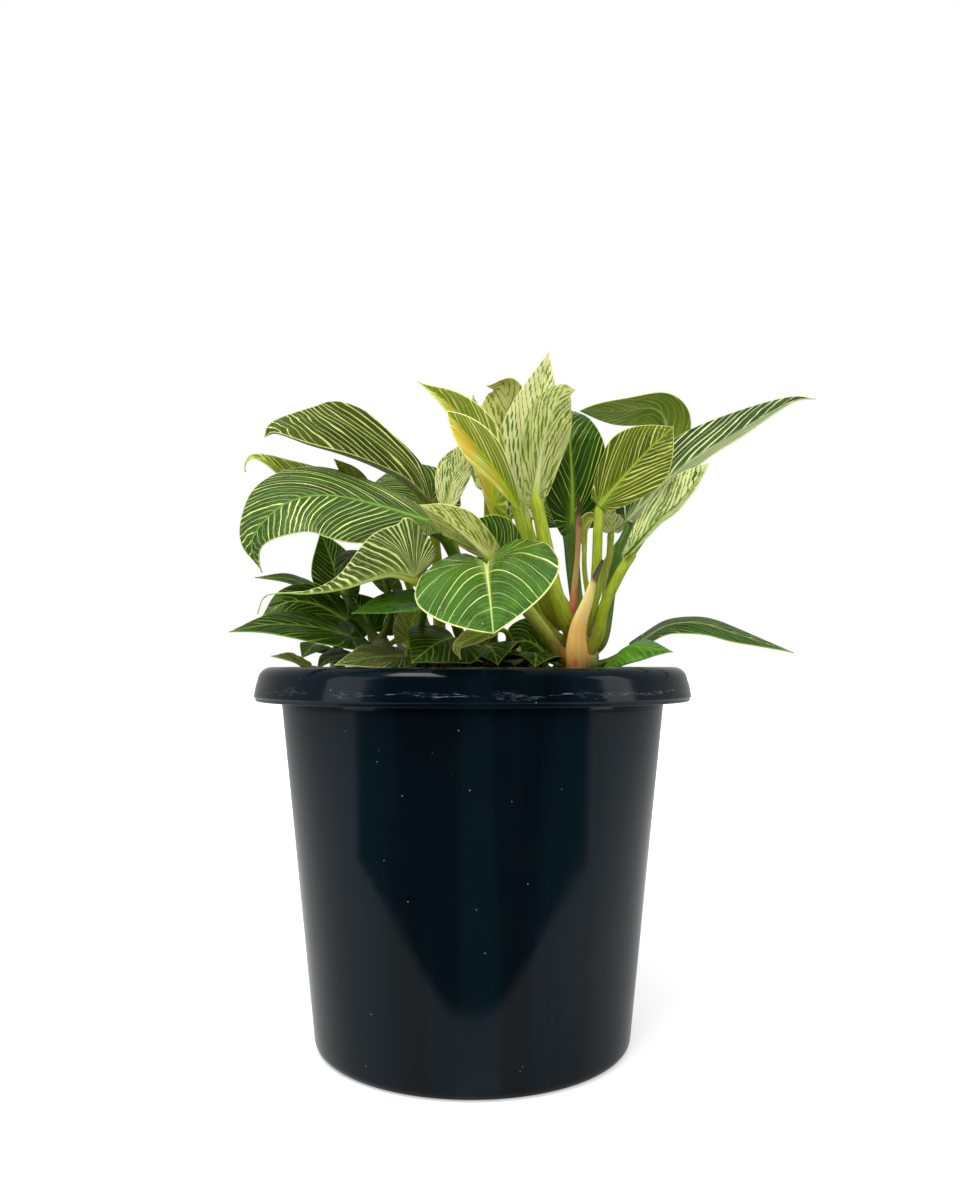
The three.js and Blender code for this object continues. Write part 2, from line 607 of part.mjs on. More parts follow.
// Point, tangent, face and side at share x of the midrib; x below 0 runs on straight behind it.
function frameAt(rib, leaf, x) {
  const u = THREE.MathUtils.clamp(x, 0, 1);
  const point = rib.line.getPointAt(u);
  const tangent = rib.line.getTangentAt(u);
  const step = Math.min(Math.floor(u * BLADE.frames), BLADE.frames - 1);
  const face = rib.faces[step].clone().lerp(rib.faces[step + 1], u * BLADE.frames - step);
  face.addScaledVector(tangent, -face.dot(tangent)).normalize();
  face.applyAxisAngle(tangent, THREE.MathUtils.degToRad((leaf.twist ?? 0) * (u - 0.5)));
  point.addScaledVector(tangent, (x - u) * rib.length);
  return { point, face, side: tangent.clone().cross(face) };
}

// The point of the blade's middle surface at share x of the length, y millimetres to the right.
function bladePoint(rib, leaf, x, y) {
  const { point, face, side } = frameAt(rib, leaf, x);
  const half = y < 0 ? 0 : 1;
  const distance = Math.abs(y);
  const reach = leaf.width / 2;
  const fold = THREE.MathUtils.degToRad(leaf.fold[half]);
  const bend = THREE.MathUtils.degToRad(leaf.curl[half]) / reach || 1e-6;
  const end = fold + bend * distance;
  const across = (Math.sin(end) - Math.sin(fold)) / bend;
  const lift = (Math.cos(fold) - Math.cos(end)) / bend;
  const phase = 2 * Math.PI * (x * BLADE.waves + half * BLADE.waveShift);
  const wave = (leaf.wave ?? 0) * (distance / reach) ** 2 * Math.sin(phase);
  return point.addScaledVector(side, Math.sign(y) * across).addScaledVector(face, lift + wave);
}

// Half the blade's width where the side vein from share t of the midrib meets the margin.
function halfWidth(leaf, t) {
  const { widest = BLADE.widest, taper = BLADE.taper } = leaf;
  const rise = (taper * (widest + BLADE.heel)) / (1 - widest);
  const shape = ((t + BLADE.heel) / (widest + BLADE.heel)) ** rise * ((1 - t) / (1 - widest)) ** taper;
  return Math.max((leaf.width / 2) * shape, BLADE.tipHalfWidth);
}

// Side vein t, at share s of the way out to the right margin (negative: to the left one).
function veinPoint(rib, leaf, s, t) {
  const out = Math.abs(s);
  const { lobe = BLADE.lobe, sweep = BLADE.sweep } = leaf;
  const forward = sweep * out ** 2 * (1 - t) * Math.min(1, t / BLADE.sweepFrom);
  const back = lobe * (1 - t) ** BLADE.lobeFade * Math.sin(BLADE.lobeTurn * out);
  return bladePoint(rib, leaf, t + forward - back, s * halfWidth(leaf, t));
}

// The way the blade's face looks at s, t.
function bladeNormal(rib, leaf, s, t) {
  const { clamp } = THREE.MathUtils;
  const step = BLADE.probe;
  const behind = veinPoint(rib, leaf, s, clamp(t - step, 0, 1));
  const along = veinPoint(rib, leaf, s, clamp(t + step, 0, 1)).sub(behind);
  const left = veinPoint(rib, leaf, clamp(s - 2 * step, -1, 1), t);
  const across = veinPoint(rib, leaf, clamp(s + 2 * step, -1, 1), t).sub(left);
  return across.cross(along).normalize();
}

// A thin shell whose two faces are split into triangles alike, closed round its margin.
function bladeSolid(rib, leaf) {
  const { columns, thickness } = BLADE;
  const rows = leaf.width * rib.length > BLADE.largeFrom ? BLADE.largeRows : BLADE.rows;
  const upper = [];
  const lower = [];
  for (let i = 0; i <= rows; i++)
    for (let j = 0; j <= columns; j++) {
      const t = (i / rows) ** BLADE.crowding;
      const s = (2 * j) / columns - 1;
      const middle = veinPoint(rib, leaf, s, t);
      const half = bladeNormal(rib, leaf, s, t).multiplyScalar(thickness / 2);
      upper.push(middle.clone().add(half));
      lower.push(middle.clone().sub(half));
    }
  const below = upper.length;
  const at = (i, j) => i * (columns + 1) + j;
  const faces = [];
  const quad = (a, b, c, d) => faces.push(a, b, c, a, c, d);
  for (let i = 0; i < rows; i++)
    for (let j = 0; j < columns; j++) {
      const [a, b, c, d] = [at(i, j), at(i, j + 1), at(i + 1, j + 1), at(i + 1, j)];
      quad(a, b, c, d);
      faces.push(a + below, c + below, b + below, a + below, d + below, c + below);
    }
  for (let j = 0; j < columns; j++) {
    quad(at(0, j) + below, at(0, j + 1) + below, at(0, j + 1), at(0, j));
    quad(at(rows, j), at(rows, j + 1), at(rows, j + 1) + below, at(rows, j) + below);
  }
  for (let i = 0; i < rows; i++) {
    quad(at(i, 0), at(i + 1, 0), at(i + 1, 0) + below, at(i, 0) + below);
    quad(at(i, columns) + below, at(i + 1, columns) + below, at(i + 1, columns), at(i, columns));
  }
  return toSolid(closedMesh([...upper, ...lower], faces));
}

// ---- stalks, sheaths and leaves -----------------------------------------------------------------

// The stalk from the crown's axis to the blade, running on under it as the tapering midrib.
function stalkSolid(rib, leaf) {
  const { steps, arch, ribReach, ribTip, ribSink, sides } = STALK;
  const [footRadius, topRadius] = leaf.stalk;
  const foot = crownPoint(CROWNS[leaf.crown], leaf.foot);
  const top = vector(leaf.midrib[0]);
  const middle = foot.clone().lerp(top, 0.5);
  middle.z += foot.distanceTo(top) * arch;
  const bends = leaf.bends ? leaf.bends.map(vector) : [middle];
  const line = new THREE.CatmullRomCurve3([foot, ...bends, top], false, "catmullrom", 0.5);
  const stations = [];
  for (let i = 0; i < steps; i++) {
    const u = i / steps;
    stations.push({ point: line.getPointAt(u), radius: THREE.MathUtils.lerp(footRadius, topRadius, u) });
  }
  for (const [x, radius] of [[0, topRadius], [ribReach, ribTip]]) {
    const { point, face } = frameAt(rib, leaf, x);
    stations.push({ point: point.addScaledVector(face, -radius * ribSink), radius });
  }
  return toSolid(bar(stations, sides));
}

function leafSolid(leaf) {
  const rib = midribOf(leaf);
  return bladeSolid(rib, leaf).add(stalkSolid(rib, leaf)).subtract(crownRooms[leaf.crown]);
}

function sheathSolid({ crown, foot, points, radii, flat }) {
  const path = [crownPoint(CROWNS[crown], foot), ...points.map(vector)];
  const stations = path.map((point, i) => ({ point, radius: radii[i], flat }));
  return toSolid(bar(stations, SHEATH_SIDES)).subtract(crownRooms[crown]).subtract(soilSolid(GAP));
}

// ---- the plant ----------------------------------------------------------------------------------

const root = new THREE.Group();

function addPiece(name, solid, material) {
  const mesh = new THREE.Mesh(toGeometry(solid), material);
  mesh.name = name;
  root.add(mesh);
}

// The room that each crown takes up, with the gap round it, is left free in the mix and the stalks.
const crownRooms = {};
let soil = soilSolid();
for (const [name, crown] of Object.entries(CROWNS)) {
  crownRooms[name] = crownSolid(crown, GAP);
  soil = soil.subtract(crownRooms[name]);
}

addPiece("pot", drainHoles(potSolid()), FINISH.pot);
addPiece("soil", soil, FINISH.soil);
for (const [name, crown] of Object.entries(CROWNS))
  addPiece(`crown_${name}`, crownSolid(crown), FINISH.crown);
for (const sheath of SHEATHS) addPiece(`sheath_${sheath.name}`, sheathSolid(sheath), FINISH[sheath.hue]);
for (const leaf of LEAVES) addPiece(`leaf_${leaf.name}`, leafSolid(leaf), FINISH[leaf.hue]);

export default root;
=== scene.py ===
"""A potted philodendron: fine striped leaves, stalks, crowns and mix in a scuffed nursery pot.

Places and sizes of the plant are typed in millimetres, as on the part's own drawing, and go through
MM into Blender's metres. -Y is the side that the camera looks at.
"""

import math
import random
from dataclasses import dataclass

import bmesh
import bpy
from mathutils import Matrix, Quaternion, Vector, noise


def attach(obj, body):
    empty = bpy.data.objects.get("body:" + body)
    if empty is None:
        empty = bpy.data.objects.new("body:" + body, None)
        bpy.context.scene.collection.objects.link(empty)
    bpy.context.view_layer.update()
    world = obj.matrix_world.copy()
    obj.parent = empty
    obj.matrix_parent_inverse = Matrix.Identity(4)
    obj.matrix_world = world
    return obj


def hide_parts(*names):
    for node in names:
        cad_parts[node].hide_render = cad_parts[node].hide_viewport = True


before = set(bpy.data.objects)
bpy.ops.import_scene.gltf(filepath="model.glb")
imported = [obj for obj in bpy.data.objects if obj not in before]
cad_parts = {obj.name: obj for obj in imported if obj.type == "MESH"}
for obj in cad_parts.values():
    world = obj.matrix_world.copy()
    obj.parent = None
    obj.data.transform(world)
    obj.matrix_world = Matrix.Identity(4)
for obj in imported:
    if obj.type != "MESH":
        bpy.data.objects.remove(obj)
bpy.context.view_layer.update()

MM = 0.001

# ---- the pot and its mix ------------------------------------------------------------------------

POT_HEIGHT = 212
RIM_RADIUS = 125
RIM_LEAN = 1.5
RIM_DEPTH = 19
RIM_ROUND = 8
SHOULDER_RADIUS = 110
BASE_RADIUS = 89
FOOT_ROUND = 6
POT_WALL = 2.4
POT_FLOOR = 3
LIP_ROUND = 2
DRAIN_HOLES = 8
DRAIN_RADIUS = 5
DRAIN_CIRCLE = 66
POT_SIDES = 144

MIX_TOP = 208
MIX_EDGE = 203
MIX_MOUND = [(0, 214), (32, 213.5), (62, 209), (107, 203)]
MIX_GAP = 0.35
MIX_RINGS = 56
MIX_SIDES = 200
MIX_SINK = 0.9
GRAINS = 2600
PERLITE = 120
GRAIN_REACH = 106

# ---- the crowns ---------------------------------------------------------------------------------

CROWN_BURIED = 60
CROWN_SIDES = 28
CROWN_RINGS = 90


@dataclass
class Crown:
    """A short stem: where its axis stands, its radius, its height above the mix and its lean."""

    at: tuple
    radius: float
    rise: float
    lean: tuple


CROWNS = {
    "right": Crown((63, -8), 11, 36, (0, 3)),
    "middle": Crown((8, 30), 10, 30, (0, 4)),
    "rear": Crown((-20, 46), 7.5, 24, (-1, 1)),
    "left": Crown((-52, -10), 7, 22, (-1, -1)),
    "low": Crown((-34, -30), 5, 14, (-1, 1)),
    "edge": Crown((-80, 8), 5, 13, (-1, 0)),
    "shoot": Crown((24, -16), 4.5, 16, (1, 1)),
}

# ---- the leaves ---------------------------------------------------------------------------------


@dataclass
class Leaf:
    """One leaf, as the part's drawing gives it: its stalk's foot, bends and radii, its midrib from
    stalk to tip, and its blade's width, outline, facing, fold and curl for the left and right half."""

    name: str
    crown: str
    slot: str
    look: str
    foot: float
    stalk: tuple
    midrib: list
    width: float
    face: tuple
    fold: tuple
    curl: tuple
    bends: list = ()
    widest: float = 0.2
    taper: float = 1.2
    lobe: float = 0.1
    sweep: float = 0.2
    twist: float = 0
    wave: float = 0


LEAVES = [
    # right crown, from the middle of the plant to the right
    Leaf("heart_front", "right", slot="mid", look="bold", foot=7, stalk=(4.8, 3.2),
         bends=[(50, -20, 219), (42, -34, 228), (30, -62, 241), (15, -86, 256)],
         midrib=[(7, -88, 264), (7, -108, 257), (8, -132, 243), (9, -154, 227)], width=71,
         lobe=0.3, widest=0.35, taper=0.6, face=(-0.12, -0.5, 0.87), fold=(26, 12),
         curl=(-25, -25)),
    Leaf("rolled_near", "right", slot="lime", look="flushed", foot=23, stalk=(3.6, 3.2),
         bends=[(46, -14, 241), (38, -21, 257), (30, -28, 283)],
         midrib=[(24, -34, 303), (15, -44, 316), (5, -52, 328), (-5, -58, 339), (-14, -61, 349)],
         width=27, widest=0.52, taper=1, face=(-0.35, -0.9, 0), fold=(65, 20), curl=(0, 10)),
    Leaf("rolled_far", "right", slot="lime", look="flushed", foot=16, stalk=(3.4, 3),
         bends=[(47, -2, 231), (33, -1, 255), (18, -7, 285)],
         midrib=[(12, -12, 307), (8, -15, 326), (0, -20, 345), (-13, -29, 361), (-31, -40, 371)],
         width=31, widest=0.3, taper=1.4, face=(-0.2, -0.95, 0.2), fold=(60, 20), curl=(0, 0)),
    Leaf("hooded", "right", slot="pale", look="butter", foot=26, stalk=(2.8, 2.4),
         bends=[(51, 7, 248), (38, 16, 268), (23, 22, 297)],
         midrib=[(18, 24, 327), (21, 24, 359), (19, 14, 383), (8, 2, 380)], width=44,
         face=(-0.1, -0.95, 0.1), fold=(10, 10), curl=(-10, -10)),
    Leaf("tall_cream", "right", slot="pale", look="cream", foot=27, stalk=(3.2, 3),
         bends=[(52, -8, 250), (42, -10, 268), (33, -9, 290)],
         midrib=[(30, -6, 307), (33, -8, 336), (39, -12, 367), (44, -18, 395)], width=38,
         widest=0.3, face=(-0.35, -0.9, 0.1), fold=(24, 20), curl=(-10, 0)),
    Leaf("cream_underside", "right", slot="pale", look="beige", foot=17, stalk=(5.6, 3.4),
         bends=[(55, -25, 234), (46, -35, 252), (40, -39, 280)],
         midrib=[(35, -39, 306), (38, -44, 330), (43, -50, 351), (50, -52, 362), (56, -48, 364)],
         width=27, widest=0.42, taper=1, face=(0.1, 1, 0.05), fold=(12, 12), curl=(0, 0), wave=1.2),
    Leaf("dark_upright", "right", slot="dark", look="sparse", foot=33, stalk=(3, 2.8),
         bends=[(61, -1, 260)],
         midrib=[(59, 0, 298), (59, 0, 323), (58, 3, 350), (60, 12, 364), (64, 28, 371)], width=42,
         widest=0.34, face=(0.05, -1, 0.1), fold=(6, 6), curl=(-10, -10)),
    Leaf("back_arch", "right", slot="mid", look="sunlit", foot=25, stalk=(3, 2.4),
         bends=[(73, 12, 252), (86, 38, 280), (110, 46, 312)],
         midrib=[(122, 46, 345), (124, 44, 366), (115, 38, 376), (92, 34, 373), (67, 30, 372)],
         width=40, widest=0.34, taper=0.9, face=(0.1, 0.3, 0.93), fold=(10, 10), curl=(-30, -30)),
    Leaf("square_lime", "right", slot="olive", look="olive_dense", foot=18, stalk=(3, 2.8),
         bends=[(68, -22, 245), (70, -26, 270)],
         midrib=[(71, -28, 303), (84, -34, 318), (97, -39, 332), (111, -42, 345)], width=39,
         lobe=0, widest=0.42, taper=1, face=(0, -0.95, 0.3), fold=(4, 4), curl=(0, 0)),
    Leaf("pale_between", "right", slot="pale", look="cream", foot=18, stalk=(2.3, 2),
         bends=[(76, 4, 242), (82, 17, 270)],
         midrib=[(86, 27, 296), (86, 31, 315), (88, 33, 337)], width=30, lobe=0.04, widest=0.35,
         face=(0.06, -1, 0.1), fold=(10, 14), curl=(-5, 0)),
    Leaf("long_right", "right", slot="dark", look="two_toned", foot=12, stalk=(3.8, 3),
         bends=[(75, -6, 228), (82, 0, 262)],
         midrib=[(92, 6, 299), (125, 3, 331), (157, -4, 351), (186, -10, 367), (201, -12, 369)],
         width=48, lobe=0, widest=0.25, face=(-0.5, -0.15, 0.85), fold=(38, -6), curl=(0, 0)),
    Leaf("cream_right", "right", slot="pale", look="cream_green", foot=8, stalk=(3.8, 2.8),
         bends=[(71, -20, 229), (75, -25, 248)],
         midrib=[(89, -32, 277), (103, -37, 293), (115, -41, 304), (130, -45, 324)], width=27,
         widest=0.45, taper=1, face=(-0.2, -0.95, 0.2), fold=(5, 62), curl=(0, 0), wave=1),
    Leaf("arch_right", "right", slot="plain", look="plain_dark", foot=4, stalk=(2.8, 2),
         bends=[(80, -12, 216)],
         midrib=[(98, -12, 228), (112, -16, 236), (129, -21, 237), (150, -27, 230),
                 (178, -34, 220)], width=28, widest=0.25, face=(0, -0.2, 0.97), fold=(6, -12),
         curl=(0, -10)),
    Leaf("glossy_right", "right", slot="plain", look="plain", foot=2, stalk=(2.6, 2),
         bends=[(73, -24, 213)],
         midrib=[(75, -42, 216), (82, -56, 223), (93, -66, 222), (103, -74, 220)], width=30,
         face=(0, -0.7, 0.7), fold=(-20, -5), curl=(0, -20)),
    # middle and rear crowns, reaching left and forward, with low leaves of the shoot and low crown
    Leaf("tip_behind", "middle", slot="lime", look="lime", foot=28, stalk=(2.4, 2),
         bends=[(9, 38, 280)],
         midrib=[(9, 34, 331), (4, 30, 358), (0, 26, 381)], width=22, face=(-0.1, -0.9, 0.2),
         fold=(15, 15), curl=(0, 0)),
    Leaf("pale_middle", "middle", slot="pale", look="cream", foot=22, stalk=(2.6, 2.2),
         bends=[(-2, 22, 258), (-11, 2, 284)],
         midrib=[(-15, -12, 304), (-12, -13, 319), (-7, -12, 333), (-3, -10, 344)], width=23,
         widest=0.4, face=(-0.3, -0.9, 0.1), fold=(15, 15), curl=(0, 0)),
    Leaf("underside_front", "middle", slot="pale", look="butter", foot=7, stalk=(2.8, 2.4),
         bends=[(12, -8, 230), (10, -46, 244)],
         midrib=[(9, -70, 270), (-4, -78, 280), (-17, -84, 289), (-27, -88, 294)], width=24,
         widest=0.35, face=(0.3, 0.8, 0.6), fold=(20, 20), curl=(-20, 0)),
    Leaf("dark_middle", "middle", slot="dark", look="sparse", foot=18, stalk=(2.8, 2.4),
         bends=[(16, 8, 240), (20, -22, 254)],
         midrib=[(18, -46, 266), (11, -54, 282), (-2, -60, 290)], width=34, face=(-0.1, -0.8, 0.6),
         fold=(10, 10), curl=(-20, -20)),
    Leaf("big_left", "middle", slot="dark", look="pinstriped", foot=16, stalk=(3.6, 3),
         bends=[(0, 14, 238), (-5, -8, 260), (-14, -30, 281)],
         midrib=[(-25, -48, 292), (-50, -62, 298), (-74, -75, 301), (-92, -83, 297),
                 (-104, -88, 287), (-111, -90, 274), (-107, -84, 260)], width=76, widest=0.38,
         taper=1.65, sweep=0.12, face=(-0.1, -0.6, 0.8), fold=(-8, 8), curl=(-12, -12), twist=10),
    Leaf("folded_upper_left", "rear", slot="olive", look="olive", foot=22, stalk=(3.4, 2.8),
         bends=[(-21, 28, 266)],
         midrib=[(-25, 2, 308), (-40, -6, 321), (-55, -12, 328), (-74, -18, 334), (-94, -22, 339),
                 (-112, -24, 345), (-119, -24, 343)], width=71, widest=0.5, taper=1.05,
         face=(-0.15, -0.9, 0.4), fold=(60, 5), curl=(0, -12)),
    Leaf("hook_far_left", "rear", slot="lime", look="lime", foot=12, stalk=(2.6, 2),
         bends=[(-36, 40, 252), (-46, 24, 280)],
         midrib=[(-60, 10, 306), (-84, 0, 315), (-106, -8, 324), (-119, -14, 331),
                 (-127, -17, 333), (-131, -18, 329), (-131, -18, 324)], width=24, widest=0.3,
         taper=1.9, face=(0, -0.8, 0.6), fold=(15, 15), curl=(0, 0)),
    Leaf("curled_left", "middle", slot="mid", look="banded", foot=11, stalk=(3.4, 2.8),
         bends=[(-6, 12, 228), (-12, -24, 244), (-20, -62, 254)],
         midrib=[(-29, -90, 257), (-41, -100, 258), (-62, -110, 250), (-78, -116, 247),
                 (-90, -119, 247), (-98, -121, 245), (-101, -121, 237)], width=72, lobe=0.2,
         widest=0.1, taper=3.6, sweep=-0.15, face=(0, -0.98, 0.2), fold=(-138, 0), curl=(-10, -10)),
    Leaf("striped_low", "low", slot="dark", look="deep", foot=5, stalk=(2.6, 2),
         bends=[(-22, -38, 218), (-12, -50, 224)],
         midrib=[(-10, -60, 228), (-19, -74, 224), (-31, -84, 214)], width=42,
         face=(-0.1, -0.8, 0.6), fold=(4, 4), curl=(-20, -20)),
    Leaf("curl_under_heart", "shoot", slot="lime", look="lime", foot=10, stalk=(1.7, 1.4),
         bends=[(20, -34, 229), (16, -52, 232)],
         midrib=[(9, -70, 231), (-2, -80, 226), (-8, -84, 222), (-6, -85, 216)], width=12,
         face=(0, -0.7, 0.7), fold=(10, 10), curl=(0, 0)),
    Leaf("dark_low_middle", "shoot", slot="dark", look="deep", foot=6, stalk=(2.2, 1.8),
         bends=[(14, -20, 217)],
         midrib=[(7, -28, 220), (7, -44, 224), (11, -58, 220), (13, -66, 213)], width=40,
         face=(0, -0.7, 0.7), fold=(5, 5), curl=(-25, -25)),
    Leaf("dark_low_right", "shoot", slot="dark", look="deep", foot=3, stalk=(2.2, 1.8),
         bends=[(28, -20, 214)],
         midrib=[(31, -26, 217), (33, -38, 220), (34, -50, 218), (33, -58, 212)], width=34,
         face=(0.1, -0.7, 0.7), fold=(5, 5), curl=(-25, -25)),
    # left, low and edge crowns, then small leaves of the other crowns
    Leaf("upright_small", "left", slot="olive", look="sparse", foot=18, stalk=(2.2, 1.9),
         bends=[(-64, -14, 238)],
         midrib=[(-74, -22, 254), (-79, -26, 270), (-86, -28, 289)], width=28,
         face=(-0.3, -0.9, 0.2), fold=(12, 12), curl=(0, 0)),
    Leaf("dark_round", "left", slot="dark", look="deep", foot=20, stalk=(2.2, 1.9),
         bends=[(-47, -20, 240)],
         midrib=[(-46, -34, 256), (-55, -46, 273), (-67, -56, 270), (-73, -62, 258)], width=34,
         face=(-0.5, -0.6, 0.6), fold=(5, 5), curl=(-20, -20)),
    Leaf("narrow_left", "edge", slot="dark", look="deep", foot=11, stalk=(2, 1.6),
         bends=[(-81, 2, 232)],
         midrib=[(-80, -4, 244), (-90, -12, 256), (-104, -22, 262), (-122, -30, 262)], width=18,
         face=(0, -0.6, 0.8), fold=(5, 5), curl=(-20, -20)),
    Leaf("fan_left_upper", "left", slot="dark", look="deep", foot=10, stalk=(2.2, 1.8),
         bends=[(-62, -24, 227)],
         midrib=[(-70, -36, 238), (-85, -44, 246), (-100, -50, 247), (-113, -54, 239)], width=32,
         face=(-0.1, -0.8, 0.6), fold=(6, 6), curl=(-20, -20)),
    Leaf("fan_left_lower", "left", slot="dark", look="deep", foot=7, stalk=(2.2, 1.8),
         bends=[(-57, -28, 222)],
         midrib=[(-66, -52, 229), (-83, -66, 233), (-103, -74, 234), (-124, -80, 230)], width=33,
         face=(-0.05, -0.55, 0.83), fold=(6, 6), curl=(-15, -15)),
    Leaf("plain_left", "low", slot="plain", look="plain", foot=11, stalk=(2, 1.8),
         bends=[(-29, -46, 230)],
         midrib=[(-24, -74, 246), (-43, -82, 243), (-61, -88, 239)], width=28,
         face=(-0.1, -0.6, 0.8), fold=(14, 0), curl=(0, 0)),
    Leaf("dark_fan_middle", "left", slot="dark", look="deep", foot=14, stalk=(2.2, 1.8),
         bends=[(-59, -5, 228)],
         midrib=[(-60, -4, 233), (-64, -6, 243), (-72, -8, 256)], width=26, face=(-0.2, -0.9, 0.2),
         fold=(8, 8), curl=(-10, -10)),
    Leaf("olive_small", "left", slot="olive", look="olive", foot=14, stalk=(1.8, 1.4),
         bends=[(-44, -10, 228)],
         midrib=[(-44, -8, 232), (-45, -8, 240), (-47, -8, 248)], width=15, face=(0, -0.9, 0.3),
         fold=(8, 8), curl=(0, 0)),
    Leaf("pale_low", "low", slot="pale", look="lime", foot=10, stalk=(2, 1.8),
         midrib=[(-36, -26, 227), (-34, -24, 238), (-31, -22, 252)], width=20, face=(0, -0.9, 0.3),
         fold=(8, 8), curl=(0, 0)),
    Leaf("olive_low_left", "low", slot="olive", look="olive", foot=4, stalk=(1.9, 1.6),
         midrib=[(-38, -54, 218), (-53, -70, 217), (-71, -78, 213)], width=26, face=(0, -0.6, 0.8),
         fold=(10, 10), curl=(-20, -20)),
    Leaf("dark_low_left", "low", slot="dark", look="deep", foot=7, stalk=(2, 1.8),
         bends=[(-46, -34, 214)],
         midrib=[(-56, -40, 214), (-66, -48, 219), (-76, -56, 217), (-82, -62, 211)], width=26,
         face=(-0.4, -0.6, 0.7), fold=(6, 6), curl=(-20, -20)),
    Leaf("round_low_left", "edge", slot="dark", look="deep", foot=6, stalk=(1.9, 1.6),
         midrib=[(-84, -4, 220), (-90, -14, 225), (-97, -21, 217)], width=28,
         face=(-0.3, -0.6, 0.7), fold=(6, 6), curl=(-20, -20)),
    Leaf("pale_tip_low", "edge", slot="lime", look="lime", foot=2, stalk=(1.6, 1.4),
         bends=[(-88, -12, 211)],
         midrib=[(-91, -30, 212), (-100, -40, 216), (-109, -47, 218)], width=13,
         face=(0, -0.6, 0.8), fold=(15, 15), curl=(0, 0)),
    Leaf("green_hook", "right", slot="lime", look="lime", foot=28, stalk=(1.8, 1.4),
         bends=[(67, -11, 247), (65, -9, 268)],
         midrib=[(65, -9, 283), (64, -10, 292), (68, -11, 299), (75, -12, 296)], width=8,
         widest=0.4, face=(0, -1, 0.1), fold=(30, 30), curl=(0, 0)),
    Leaf("pale_tip_left", "rear", slot="lime", look="lime", foot=8, stalk=(2.2, 1.6),
         bends=[(-34, 30, 246), (-48, 4, 288)],
         midrib=[(-56, -8, 306), (-68, -10, 320), (-81, -12, 333)], width=13, widest=0.4,
         face=(0, -0.8, 0.6), fold=(10, 10), curl=(0, 0)),
    Leaf("dark_behind_left", "middle", slot="dark", look="deep", foot=2, stalk=(2.2, 1.8),
         bends=[(2, 12, 214)],
         midrib=[(-2, 2, 219), (-8, -12, 226), (-13, -26, 223), (-16, -38, 214)], width=38,
         face=(0, -0.7, 0.7), fold=(5, 5), curl=(-15, -15)),
    Leaf("dark_behind_right", "right", slot="dark", look="deep", foot=2, stalk=(2.2, 1.8),
         bends=[(50, 0, 214)],
         midrib=[(45, 1, 217), (37, 0, 225), (28, -2, 227), (19, -3, 219)], width=33,
         face=(0, -0.9, 0.3), fold=(5, 5), curl=(-10, -10)),
    # the far side
    Leaf("back_tall", "right", slot="mid", look="banded_dark", foot=19, stalk=(3, 2.6),
         bends=[(63, 15, 242), (61, 34, 272)],
         midrib=[(60, 50, 302), (60, 68, 328), (58, 92, 345), (54, 112, 343)], width=50, lobe=0.03,
         face=(0, -0.6, 0.8), fold=(10, 10), curl=(-20, -20)),
    Leaf("back_left_high", "rear", slot="dark", look="banded_dark", foot=12, stalk=(3.2, 2.6),
         bends=[(-23, 60, 248), (-24, 61, 290)],
         midrib=[(-26, 62, 316), (-37, 70, 332), (-56, 82, 340), (-77, 96, 330)], width=52,
         face=(-0.2, -0.5, 0.85), fold=(8, 8), curl=(-20, -20)),
    Leaf("back_over_rim", "middle", slot="mid", look="pinstriped", foot=14, stalk=(3, 2.6),
         midrib=[(8, 66, 254), (6, 92, 262), (2, 120, 255), (-2, 142, 240)], width=56,
         face=(0, 0.4, 0.9), fold=(8, 8), curl=(-20, -20)),
    Leaf("back_right", "right", slot="dark", look="pinstriped", foot=10, stalk=(3, 2.4),
         bends=[(65, 16, 232)],
         midrib=[(66, 40, 244), (66, 72, 254), (62, 104, 248), (58, 126, 234)], width=48,
         face=(0.1, 0.4, 0.9), fold=(8, 8), curl=(-20, -20)),
    Leaf("back_left", "edge", slot="dark", look="deep", foot=7, stalk=(2.4, 2),
         midrib=[(-80, 30, 232), (-86, 54, 241), (-92, 78, 238), (-96, 94, 228)], width=42,
         face=(-0.2, 0.3, 0.93), fold=(8, 8), curl=(-20, -20)),
    Leaf("back_low", "rear", slot="olive", look="olive", foot=3, stalk=(2.4, 2),
         midrib=[(-26, 66, 222), (-34, 88, 229), (-44, 110, 226), (-50, 124, 217)], width=38,
         face=(-0.1, 0.4, 0.9), fold=(8, 8), curl=(-20, -20)),
]

BLADE_THICKNESS = 0.5
BLADE_HEEL = 0.05
BLADE_TIP = 0.3
BLADE_COLUMNS = 36
BLADE_ROWS = 56
LOBE_FADE = 4
LOBE_TURN = 0.75 * math.pi
LOBE_VEINS = 0.45
SWEEP_FROM = 0.25
MARGIN_RIPPLE = 0.9
RIB_STEPS = 64
RIB_REACH = 0.92
RIB_SINK = 1.12
STALK_ARCH = 0.06
STALK_SIDES = 14
STALK_STEPS = 48
RIB_STATIONS = 24
STALK_FLARE = 1.1
VEIN_RIDGE = 0.16
RIDGES_PER_LINE = 0.55
VALLEY_DEPTH = 0.5
VALLEY_WIDTH = 1.6
TINY = 1e-6

# ---- lines and tubes ----------------------------------------------------------------------------


def mixed(a, b, share):
    return a + (b - a) * share


def clamped(value, low=0.0, high=1.0):
    return max(low, min(high, value))


def eased(value):
    value = clamped(value)
    return value * value * (3 - 2 * value)


